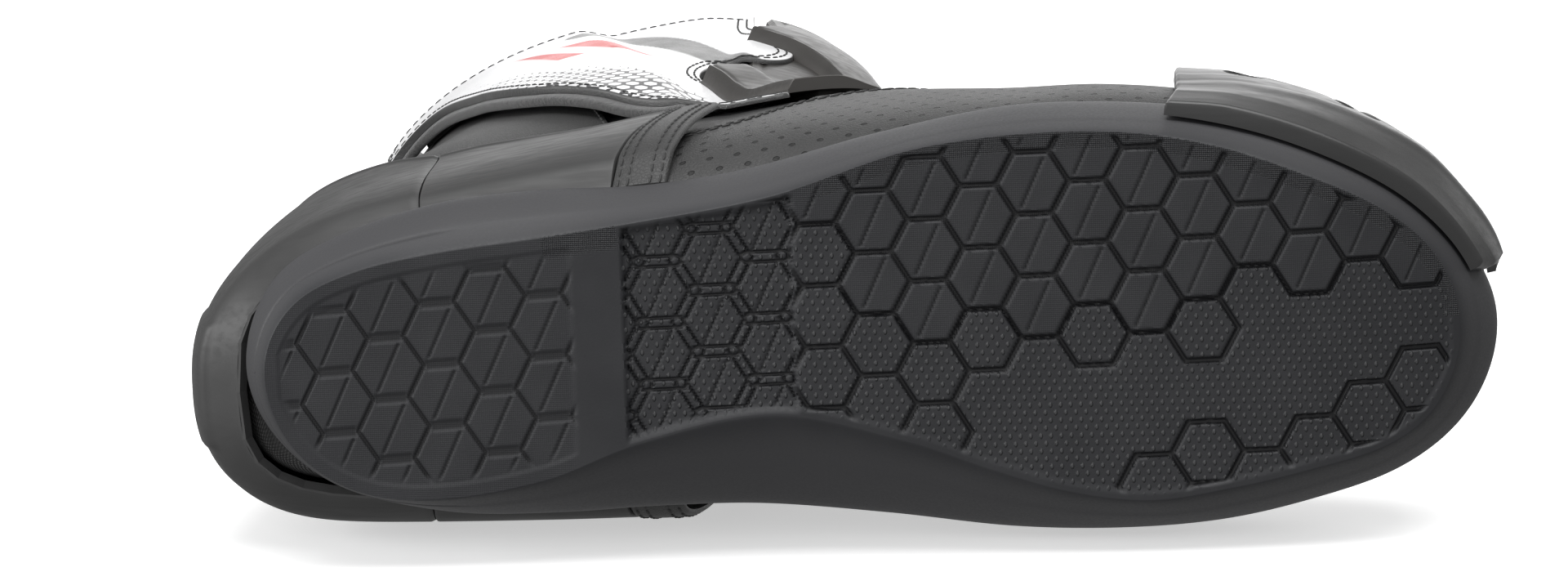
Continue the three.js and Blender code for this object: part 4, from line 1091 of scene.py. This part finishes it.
def straps():
    paths = []
    for side, name in NAMED_SIDES:
        flat = ruled(wall_line(109.5, 96.3, 1.6), line([120, 76.5], [107.5, 82]), 34, 80)
        patch = Patch(flat, side)
        seat = 2.2 * (1 - smooth(patch.right, 0, 12))
        outer = 3.7 + 0.5 * patch.crown() - seat
        shell(f"ankle_strap_cover_{name}", patch, outer, np.minimum(2.4, outer - 1.4), "foot", LEATHER,
              radius=0.8, stands_for=[f"ankle_strap_{name}"], slot="microfibre")
        paths += [patch.along_edge(which, distance, outer) for which in (0, 1) for distance in (1.5, 3.9)]
    stitches("strap_stitching", paths, "foot", THREAD, slot="microfibre")


def foot_seams():
    paths = []
    for side, _ in NAMED_SIDES:
        patch = Patch(ruled(feather(236.4, 104), VAMP_TOP, 90, 40), side, "013")
        paths += [patch.along_edge(which, distance, 0.05) for distance in (1.6, 4.0) for which in (3, 0)]
    stitches("vamp_stitching", paths, "foot", THREAD, slot="microfibre")


def flex_panels():
    """Accordion panels that stretch from the foot to the leg."""
    specs = [
        ("front", 5, wrapped(line([139.6, 82], [142.5, 111]), ridge(front_ridge, 6.95, 9.15), 90, 90),
         [168, 0, 88], [150, 0, 128]),
        ("rear", 4, wrapped(line([29.5, 90], [24, 123]), ridge(back_ridge, 14.35, 15.6), 70, 60),
         [20, 0, 93], [20, 0, 120]),
    ]
    for name, count, grid, low, high in specs:
        patch = Patch(*grid)
        share = patch.share_down()
        fade = smooth(share, 0, 0.08) * smooth(1 - share, 0, 0.08)
        folds = 1.3 * np.abs(np.sin(share * math.pi * count)) ** 0.7 * fade
        shell(f"{name}_stretch_panel", patch, -1.6 + folds, -3.2, ("foot", "leg", low, high), LEATHER,
              stands_for=[f"{name}_flex_panel"], slot="microfibre")


# ---------- The leg ----------
ZIP_LOW, ZIP_HIGH = (103, 98), (64, 259)
PLATE_LINE = [[142.5, 113], [128, 132], [121.5, 160], [122, 210], [124, 250], [121, 280]]
TAPE_WIDTH, TAPE_FROM = 7, 0.6
ZIP_ROOM = TAPE_WIDTH + TAPE_FROM + 1.6


def zip_x(z):
    """Where the zip's middle line is at height z, in side view."""
    return ZIP_LOW[0] + (ZIP_HIGH[0] - ZIP_LOW[0]) * (z - ZIP_LOW[1]) / (ZIP_HIGH[1] - ZIP_LOW[1])


def beside_zip(side, *heights):
    return [[zip_x(z) + side * ZIP_ROOM, z] for z in heights]


BEHIND_PLATE = line([140, 98], *[[x - 1.3, z - 0.5] for x, z in PLATE_LINE])
LEG_REAR = line([31, 96], [25, 124], [29, 180], [29, 230], [27, 261])
BOTTOM_REAR = [[31, 96], [46, 73], [65, 63], [85, 60]]
BOTTOM_FRONT = [[124, 70], [136, 84], [140, 98]]
THROAT, SEAM = 107, 0.8
AHEAD_OF_ZIP = line([THROAT + SEAM, 61], [THROAT + SEAM, 84], *beside_zip(1, 98, 150, 200, 252, 266))
BEHIND_ZIP = line([THROAT - SEAM, 61], [THROAT - SEAM, 84], *beside_zip(-1, 98, 150, 200, 252, 263))
LEG_TUCK = 1.3


def top_edge(start, end):
    def at(t):
        x = start + (end - start) * np.asarray(t, float)
        share = (x - column(3, LEG_TOP)) / (column(0, LEG_TOP) - column(3, LEG_TOP))
        return np.stack([x, column(4, LEG_TOP) + (column(1, LEG_TOP) - column(4, LEG_TOP)) * share], -1)

    return at


def leg_panels():
    """Three panels, tucked under the foot's at the bottom. Stitches run along the top and up the zip."""
    specs = [
        ("medial", MEDIAL, line(*BOTTOM_REAR, [THROAT, 61], *BOTTOM_FRONT), top_edge(27, 119.5), LEG_REAR,
         BEHIND_PLATE, 90, None),
        ("front", LATERAL, line([THROAT + SEAM, 61], *BOTTOM_FRONT), top_edge(70, 119.5), AHEAD_OF_ZIP,
         BEHIND_PLATE, 44, 2),
        ("rear", LATERAL, line(*BOTTOM_REAR, [THROAT - SEAM, 61]), top_edge(27, 52), LEG_REAR,
         BEHIND_ZIP, 60, 3),
    ]
    shells_reach = 112
    paths = []
    for name, side, bottom, top, rear, front, cols, zip_edge in specs:
        patch = Patch(coons(bottom, top, rear, front, 110, cols), side)
        tuck = -LEG_TUCK * (1 - smooth(patch.share_down(), 0, 0.25))
        shell(f"leg_cover_{name}", patch, tuck, tuck - 2.2, "leg", LEATHER,
              stands_for=[f"shaft_panel_{name}"], slot="microfibre")
        paths.append(patch.along_edge(1, 1.8, 0.05))
        if zip_edge:
            path, normal = patch.along_edge(zip_edge, 1.8, 0.05)
            clear = path[:, 2] > shells_reach
            paths.append((path[clear], normal[clear]))
    stitches("leg_stitching", paths, "leg", THREAD, slot="microfibre")


def shin_plate():
    patch = Patch(*wrapped(line(*PLATE_LINE), ridge(front_ridge, 9.1, LEG_TOP), 130, 90))
    spine = 0.5 * np.exp(-((patch.base[..., 1] - 1) / 9) ** 2) * smooth(patch.edge, 2, 12)
    step = 0.5 * np.exp(-((patch.edge - 4.2) / 0.5) ** 2)
    shell("shin_plate_shell", patch, 2.6 + spine - step, -2.2, "leg", SHIN, radius=1.2,
          stands_for=["shin_plate"], slot="moulded_shell")


# Each rib's rear tip, middle and base, its widths at the tip and the base, and its height.
RIBS = {
    "lower": ([112, 147], [119.5, 131], [137, 104], 20.0, 26.0, 4.6),
    "upper": ([120, 207], [136, 186], [159, 142], 18.0, 27.0, 4.8),
}


def shin_ribs():
    """Raised tongues on the shin plate: blunt at the rear tip, crisp along the low edge, fading upwards."""
    for place, (tip, middle, base, narrow, wide, height) in RIBS.items():
        centre = line(tip, middle, base)
        t = eased(90, 0.3)[:, None]
        c = eased(46, 0.3)[None, :]
        ahead = unit(centre(np.clip(t[:, 0] + 0.01, 0, 1)) - centre(np.clip(t[:, 0] - 0.01, 0, 1)))
        across = np.stack([-ahead[:, 1], ahead[:, 0]], -1)
        width = (narrow + (wide - narrow) * t) * c
        flat = centre(t[:, 0])[:, None] + across[:, None] * (width - 1.5)[..., None]
        for side, name in NAMED_SIDES:
            patch = Patch(flat, side)
            proud = height * (1 - 0.5 * smooth(t, 0.3, 1)) * smooth(t, -0.012, 0.016)
            shape = smooth(width, -0.3, 2.4) * (1 - smooth(c, 0.55, 1))
            ledge = 0.35 * np.exp(-((width - 3.0) / 0.5) ** 2) * (1 - t)
            shell(f"shin_rib_{place}_{name}", patch, 2.75 + proud * shape - ledge, 1.6, "leg", SHIN,
                  radius=0.25, slot="moulded_shell", sharp=26)


def calf_plate():
    edge = line([23, 126], [26.5, 180], [26.5, 230], [24.5, 260])
    patch = Patch(*wrapped(edge, ridge(back_ridge, 15.6, LEG_TOP), 100, 60))
    panel = -0.6 * smooth(patch.edge, 5, 6.2)
    shell("calf_plate_shell", patch, 2.6 + panel, -2.2, "leg", SHELL, radius=1.1,
          stands_for=["calf_plate"], slot="moulded_shell")


def linings():
    """One sock inside the boot, from the sole to the collar."""
    bend = ("foot", "leg", [ANKLE[0], 0, 84], [ANKLE[0], 0, 124])
    thick, footbed_top = 1.4, 21.6
    nodes = {
        "lateral": ["lining_forefoot", "lining_heel"],
        "medial": ["shaft_lining_front", "shaft_lining_back"],
    }
    s = np.concatenate([np.linspace(5.25, 9, 30), np.linspace(9.1, 18.9, 80)])
    grid_s, grid_a = np.meshgrid(s, np.linspace(0.0, math.pi, 70), indexing="ij")
    deep = 5.2 + 1.3 * smooth(grid_s, 9, 13)
    for side, name in NAMED_SIDES:
        base, normal = skin_point(grid_s, side * grid_a), skin_normal(grid_s, side * grid_a)
        faces_of = [base - normal * depth[..., None] for depth in (deep, deep + thick)]
        for face in faces_of:
            face[..., 2] = np.maximum(face[..., 2], footbed_top + rise(face[..., 0]))
        points, faces = sheet_mesh(*faces_of)
        add_mesh(f"lining_sock_{name}", points, faces, bend, MESH, None, nodes[name], "lining_textile")


def collar():
    """Two crowned rolls inside the top of the leg."""
    for which, curve, edge_x in (("front", front_ridge, 85.4), ("back", back_ridge, 83.6)):
        edge = line([edge_x, 251], [edge_x, 277])
        patch = Patch(*wrapped(edge, ridge(curve, 18.9, COLLAR), 40, 110))
        fall = rim_fall(patch.edge, 3.4)
        outer, inner = patch.at(-1.6 - fall * 0.85), patch.at(-9.0 - 1.2 * patch.crown() + fall * 0.9)
        points, faces = sheet_mesh(outer, inner)
        pad = add_mesh(f"collar_roll_{which}", points, faces, "leg", LEATHER, {
            "edge": np.full(len(points), 9.0)}, [f"collar_pad_{which}"], "lining_textile")


def pull_loop():
    """A flattened ring of webbing that stands up behind the calf."""
    depth, height, width, thick, behind, lean = 5.6, 30, 16, 1.5, 4.4, -0.06
    ridge_x, ridge_z = back_ridge(np.array(LEG_TOP - 0.55))
    turn = np.linspace(0, 2 * math.pi, 120, endpoint=False)
    straight = np.where(np.sin(turn) >= 0, height - depth, 0)
    across = (eased(14) * width - width / 2)[:, None] * np.ones_like(turn)

    def face(inset):
        r = depth / 2 - inset
        x = np.broadcast_to(r * np.cos(turn), across.shape)
        z = np.broadcast_to(depth / 2 + straight + r * np.sin(turn), across.shape)
        return np.stack([x, across, z], -1)

    place = np.array([float(ridge_x) - behind - depth / 2, float(column(5, LEG_TOP)), float(ridge_z)])
    points = np.concatenate([face(0).reshape(-1, 3), face(thick).reshape(-1, 3)])
    points = points @ np.array(Matrix.Rotation(lean, 3, "Y")).T + place
    rows, cols = across.shape
    outer_faces = grid_faces(rows, cols, wrap=True)
    k = np.arange(cols)
    after = (k + 1) % cols
    first = np.stack([k, after, after + rows * cols, k + rows * cols], -1)
    last = first + (rows - 1) * cols
    faces = np.concatenate([outer_faces, outer_faces[:, ::-1] + rows * cols, first[:, ::-1], last])
    add_mesh("pull_loop_webbing", points, faces, "leg", WEB, None, ["pull_loop"], "webbing")


# ---------- The zip ----------
def zip_frame():
    ends = [skin_point(*locate(x, z, LATERAL)) for x, z in (ZIP_LOW, ZIP_HIGH)]
    along = ends[1] - ends[0]
    length = float(np.linalg.norm(along))
    along = unit(along)
    middle = locate((ZIP_LOW[0] + ZIP_HIGH[0]) / 2, (ZIP_LOW[1] + ZIP_HIGH[1]) / 2, LATERAL)
    out = skin_normal(*middle)
    out = unit(out - along * (out @ along))
    across = np.cross(along, out)
    return np.column_stack([across, along, out]), ends[0], length


ZIP_TURN, ZIP_ORIGIN, ZIP_LENGTH = zip_frame()
TAPE_TOP = -0.6


def on_zip(points):
    return np.asarray(points, float) @ ZIP_TURN.T + ZIP_ORIGIN


def slab(outline_at, z0, z1, tall, inwards):
    """Points and faces of a flat piece with chamfered faces. outline_at(inset) gives its outline."""
    levels = [(z0, inwards), (z0 + tall, 0), (z1 - tall, 0), (z1, inwards)]
    rings = [[(x, y, z) for x, y in outline_at(inset)] for z, inset in levels]
    return sum(rings, []), tube_faces(len(rings), len(rings[0]))


def block(size, centre, chamfer):
    """Points and faces of a chamfered box."""
    def outline_at(inset):
        a, b = size[0] / 2 - inset, size[1] / 2 - inset
        corners = [(a - chamfer, -b), (a, chamfer - b), (a, b - chamfer), (a - chamfer, b)]
        corners += [(-x, -y) for x, y in corners]
        return [(x + centre[0], y + centre[1]) for x, y in corners]

    return slab(outline_at, centre[2] - size[2] / 2, centre[2] + size[2] / 2, chamfer, chamfer)


def zip_tapes():
    """Ribbed tapes with a bead along the teeth."""
    rib_pitch, thick = 1.4, 1.1
    for name, side in (("front", 1), ("rear", -1)):
        u = np.linspace(0, 1, 120)[:, None]
        v = eased(14, 0.3)[None, :]
        x = side * (TAPE_FROM + TAPE_WIDTH * v) + 0 * u
        y = u * ZIP_LENGTH + 0 * v
        ribs = 0.06 * np.cos(v * TAPE_WIDTH * 2 * math.pi / rib_pitch)
        bead = 0.5 * np.exp(-((v - 0.04) / 0.06) ** 2)
        top = np.stack([x, y, TAPE_TOP + ribs + bead + 0 * u], -1)
        under = np.stack([x, y, TAPE_TOP - thick + 0 * x], -1)
        points, faces = sheet_mesh(top, under)
        add_mesh(f"zip_cloth_{name}", on_zip(points), faces, "leg", TAPE,
                 stands_for=[f"zip_tape_{name}"], slot="webbing")


def zip_teeth():
    pitch, low_end, both_ends = 1.5, 2.5, 4
    parts = []
    for k in range(int((ZIP_LENGTH - both_ends) / pitch)):
        side = 1 if k % 2 else -1
        parts.append(block((3.4, 0.95, 1.3), (side * 0.55, low_end + k * pitch, TAPE_TOP + 0.35), 0.22))
    points, faces = joined(parts)
    add_mesh("zip_teeth", on_zip(points), faces, "leg", NICKEL, slot="zip_metal")


SLIDER_LENGTH = 12
SLIDER_LOW = TAPE_TOP + 0.3


def zip_slider():
    """Two waisted plates, the post between them and the bridge that holds the puller."""
    top = ZIP_LENGTH - 1
    share = np.linspace(0, 1, 22)
    half = np.interp(share, [0, 0.35, 0.6, 0.85, 1], [2.7, 3.3, 4.1, 4.1, 2.9])

    def plate(inset):
        y = top - SLIDER_LENGTH + inset + (SLIDER_LENGTH - 2 * inset) * share
        right = list(zip(half - inset, y))
        return right + [(-x, y) for x, y in right][::-1]

    parts = [slab(plate, SLIDER_LOW + z0, SLIDER_LOW + z1, 0.25, 0.3) for z0, z1 in ((0, 0.7), (1.5, 2.3))]
    parts.append(block((1.4, 3.4, 1.6), (0, top - 3.2, SLIDER_LOW + 1.1), 0.3))
    parts.append(block((1.8, 6.4, 0.9), (0, top - 4.6, SLIDER_LOW + 2.55), 0.3))
    points, faces = joined(parts)
    add_mesh("zip_slider_body", on_zip(points), faces, "zip_slider", NICKEL,
             stands_for=["zip_slider"], slot="zip_metal")


def zip_puller():
    """A dished tab that hangs down the zip."""
    pivot = ZIP_LENGTH - 1 - SLIDER_LENGTH * 0.3
    low, length, thick = SLIDER_LOW + 2.7, 11, 1
    t = np.linspace(0, 1, 26)[:, None]
    c = np.linspace(-1, 1, 14)[None, :]
    width = np.interp(t, [0, 0.12, 0.3, 0.75, 0.9, 1], [1.6, 2.2, 2.3, 2.9, 2.5, 1.0])
    width = width * np.sqrt(np.clip(1 - ((t - 0.5) / 0.52) ** 8, 0.05, 1))
    x, y = c * width, pivot - length * t + 0 * c
    dish = (1 - smooth(np.abs(c), 0.55, 0.7)) * smooth(t, 0.3, 0.4) * (1 - smooth(t, 0.85, 0.92))
    z = low + thick - 0.25 * dish - 0.25 * smooth(np.abs(c), 0.85, 1)
    points, faces = sheet_mesh(np.stack([x, y, z], -1), np.stack([x, y, low + 0 * x], -1))
    add_mesh("zip_pull_tab", on_zip(points), faces, "zip_puller", NICKEL,
             stands_for=["zip_puller"], slot="zip_metal")


# ---------- The flap ----------
FLAP_BOTTOM = line([22, 226], [37, 219], [60, 154], [82, 127], [106, 104], [121, 88])
FLAP_TOP = line([22, 251], [50, 247], [72, 249], [90, 257], [106, 267], [118, 273])
FLAP_REAR = line([22, 226], [21, 238], [22, 251])
FLAP_FRONT = line(
    [121, 88], [132, 93], [136, 99], [127, 120], [118, 140], [112.5, 147], [110, 156], [111, 167],
    [116, 177], [128, 177], [132, 190], [126, 208], [121, 230], [119, 256], [118, 273],
)
RED_BARS = [
    [[70, 216], [78, 215], [96, 191], [86, 189]],
    [[58, 224], [66, 212], [79, 188], [72, 186]],
]
STRIPE = line([76, 234], [90, 224], [101, 208], [112, 187], [120, 172])


def flap_lift(x, z):
    """The inner face, a little wavy: near the leg ahead of the zip, higher over the plate and the zip."""
    plate = np.array(PLATE_LINE)
    plate_x = np.interp(z, plate[:, 1], plate[:, 0])
    lift = 0.7 + 3.7 * (1 - smooth(x - zip_x(z), 5, 16)) + 2.2 * smooth(x - plate_x, -7, -1)
    return lift + 0.35 * np.sin(x * 0.06 + z * 0.02)


def inside_quad(x, z, corners, soft=0.35):
    """1 inside a four-cornered shape, with soft edges."""
    corners = np.array(corners, float)
    centre = corners.mean(0)
    result = np.ones_like(x)
    for a, b in zip(corners, np.roll(corners, -1, 0)):
        out = np.array([b[1] - a[1], a[0] - b[0]])
        out /= np.linalg.norm(out)
        if (centre - a) @ out > 0:
            out = -out
        result = np.minimum(result, 1 - smooth((x - a[0]) * out[0] + (z - a[1]) * out[1], -soft, soft))
    return result


FLAP_BEND = ("leg", "flap", [121, 0, 180], [112, 0, 180])
FLAP = Patch(coons(FLAP_BOTTOM, FLAP_TOP, FLAP_REAR, FLAP_FRONT, 240, 150), LATERAL)
FLAP_INNER = flap_lift(FLAP.x, FLAP.z)
FLAP_OUTER = FLAP_INNER + 1.4 + 0.7 * (1 - smooth(FLAP.x, 104, 116))


def closure_flap():
    x, z = FLAP.x, FLAP.z
    band = STRIPE(np.linspace(0, 1, 60))
    gap = np.min(np.hypot(x[..., None] - band[:, 0], z[..., None] - band[:, 1]), axis=-1)
    values = doubled({
        "flat": np.stack([x, z, 0 * x], -1), "edge": FLAP.edge, "low": FLAP.down,
        "stripe": 1 - smooth(gap, 5.4, 6.2),
        "bars": np.max([inside_quad(x, z, corners) for corners in RED_BARS], axis=0),
    })
    points, faces = sheet_mesh(FLAP.at(FLAP_OUTER - rim_fall(FLAP.edge, 0.9)), FLAP.at(FLAP_INNER))
    add_mesh("closure_flap_cover", points, faces, FLAP_BEND, PRINT, values, ["closure_flap"], "printed_flap")


def flap_stitching():
    paths = []
    for which, distance in ((0, 2.2), (1, 2.2), (2, 2.4), (2, 6.0), (3, 2.2), (3, 4.6)):
        path, normal = FLAP.along_edge(which, distance, FLAP_OUTER)
        paths.append((path[3:-3], normal[3:-3]))
    stitches("flap_stitching", paths, FLAP_BEND, THREAD, pitch=3.0, length=2.2, radius=0.3,
             slot="printed_flap")


def flap_pads():
    """The hook pad under the flap's low edge, and the loop pad on the leg."""
    def low(t):
        return FLAP_BOTTOM(np.asarray(t) * 0.86) - [1.2, 3.2]

    def high(t):
        return FLAP_BOTTOM(np.asarray(t) * 0.86) + [6.0, 16.0]

    under = Patch(ruled(low, high, 110, 30), LATERAL)
    fall = rim_fall(under.edge, 1.5)
    lift = flap_lift(under.x, under.z)
    bottom = np.maximum(lift - 2.9 + fall * 0.6, 0.5)
    points, faces = sheet_mesh(under.at(lift - 0.1 - fall * 0.5), under.at(bottom))
    add_mesh("flap_underlay", points, faces, FLAP_BEND, PILE, None, ["flap_hook_pad"], "webbing")
    loop = Patch(ruled(line([31, 228], [48, 218]), line([31, 244], [48, 241]), 30, 24), LATERAL)
    shell("leg_loop_pad", loop, 1.7, 0.3, "leg", PILE, radius=0.7,
          stands_for=["flap_loop_pad"], slot="webbing")


# ---------- CAD nodes that show as they are ----------
def carried_over():
    finishes = {
        "midsole": FOAM, "steel_shank": STEEL, "insole_board": BOARD, "toe_puff": SHELL,
        "slider_nut_plate_front": STEEL, "slider_nut_plate_rear": STEEL, "heel_stiffener": SHELL,
        "shin_foam": FOAM, "ankle_pad_lateral": FOAM, "ankle_pad_medial": FOAM,
    }
    for name, material in finishes.items():
        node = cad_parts[name]
        if not node.material_slots:
            node.data.materials.append(material)
        for material_slot in node.material_slots:
            material_slot.material = material


# ---------- Stage, lights and camera ----------
def one_sided(name, tone):
    """A pale floor that is clear from behind, so that it hides nothing."""
    material = bpy.data.materials.new(name)
    material.use_nodes = True
    tree = material.node_tree
    shader = tree.nodes["Principled BSDF"]
    shader.inputs["Base Color"].default_value = (tone, tone, tone, 1)
    shader.inputs["Roughness"].default_value = 0.7
    shader.inputs["Emission Color"].default_value = (1, 1, 1, 1)
    shader.inputs["Emission Strength"].default_value = 0.5
    clear = tree.nodes.new("ShaderNodeBsdfTransparent")
    facing = tree.nodes.new("ShaderNodeNewGeometry")
    choose = tree.nodes.new("ShaderNodeMixShader")
    tree.links.new(facing.outputs["Backfacing"], choose.inputs[0])
    tree.links.new(shader.outputs[0], choose.inputs[1])
    tree.links.new(clear.outputs[0], choose.inputs[2])
    tree.links.new(choose.outputs[0], tree.nodes["Material Output"].inputs["Surface"])
    return material


def floor(name, centre, normal, size=6.0):
    mesh = bpy.data.meshes.new(name)
    corners = [(x * size / 2, y * size / 2, 0) for x, y in ((-1, -1), (1, -1), (1, 1), (-1, 1))]
    mesh.from_pydata(corners, [], [(0, 1, 2, 3)])
    mesh.materials.append(one_sided(name, 0.85))
    obj = bpy.data.objects.new(name, mesh)
    facing = Vector(normal).to_track_quat("Z", "Y").to_matrix().to_4x4()
    obj.matrix_world = Matrix.Translation(centre) @ facing
    bpy.context.scene.collection.objects.link(obj)
    # It takes shadows but blocks no light, so the sole is lit through the ground.
    obj.visible_shadow = False
    obj.visible_diffuse = False
    obj.visible_glossy = False
    obj.visible_transmission = False
    obj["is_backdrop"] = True


def stage():
    low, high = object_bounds()
    floor("ground", Vector((0, 0, low[2] - 0.0005)), (0, 0, 1))
    floor("photo_floor", Vector((0, high[1] + 0.0005, 0)), (0, -1, 0))


def light(name, place, target, size, power):
    data = bpy.data.lights.new(name, "AREA")
    data.shape = "RECTANGLE"
    data.size, data.size_y = size
    data.energy = power
    obj = bpy.data.objects.new(name, data)
    obj.location = place
    obj.rotation_euler = (Vector(target) - Vector(place)).to_track_quat("-Z", "Y").to_euler()
    bpy.context.scene.collection.objects.link(obj)


def lights():
    world = bpy.data.worlds.new("studio")
    world.use_nodes = True
    background = world.node_tree.nodes["Background"]
    background.inputs["Color"].default_value = (1, 1, 1, 1)
    # The backdrop is white, but it lights the boot less than it shows.
    rays = world.node_tree.nodes.new("ShaderNodeLightPath")
    level = world.node_tree.nodes.new("ShaderNodeMapRange")
    level.inputs["To Min"].default_value = 0.36
    level.inputs["To Max"].default_value = 1.0
    world.node_tree.links.new(rays.outputs["Is Camera Ray"], level.inputs["Value"])
    world.node_tree.links.new(level.outputs["Result"], background.inputs["Strength"])
    bpy.context.scene.world = world
    bpy.context.scene.view_settings.view_transform = "Standard"
    light("above_boot", (0.1, -1.3, -0.2), (0, 0, 0.08), (1.6, 1.0), 21)
    light("sole_fill", (-0.6, -0.5, -1.3), (0, 0, 0), (0.9, 0.9), 6)
    light("heel_side", (-1.3, -0.3, -0.25), (0, 0, 0.04), (0.6, 0.9), 9)
    light("overhead", (0.3, -0.3, 1.5), (0, 0, 0.1), (1.2, 1.2), 7)


CAMERA_PLACE = (210.5, -251.6, -1427.0)  # drafted millimetres
CAMERA_FORWARD = Vector((-0.0501, 0.1686, 0.9844))
CAMERA_RIGHT = Vector((0.9984, 0.0341, 0.0450))
CAMERA_LENS = 141.4


def camera():
    data = bpy.data.cameras.new("camera")
    data.lens = CAMERA_LENS
    data.sensor_width = 36
    data.clip_end = 20
    obj = bpy.data.objects.new("camera", data)
    forward = CAMERA_FORWARD.normalized()
    right = (CAMERA_RIGHT - forward * CAMERA_RIGHT.dot(forward)).normalized()
    up = right.cross(forward)
    turn = Matrix((right, up, -forward)).transposed().to_4x4()
    obj.matrix_world = Matrix.Translation(Vector(row(CAMERA_PLACE))) @ turn
    bpy.context.scene.collection.objects.link(obj)
    bpy.context.scene.camera = obj


camera()
outsole()
footbed()
toe_box()
toe_slider()
slider_screws()
vamp()
quarter()
heel_counter()
ankle_panels()
straps()
foot_seams()
flex_panels()
leg_panels()
shin_plate()
shin_ribs()
calf_plate()
linings()
collar()
pull_loop()
zip_tapes()
zip_teeth()
zip_slider()
zip_puller()
closure_flap()
flap_stitching()
flap_pads()
carried_over()
stage()
lights()
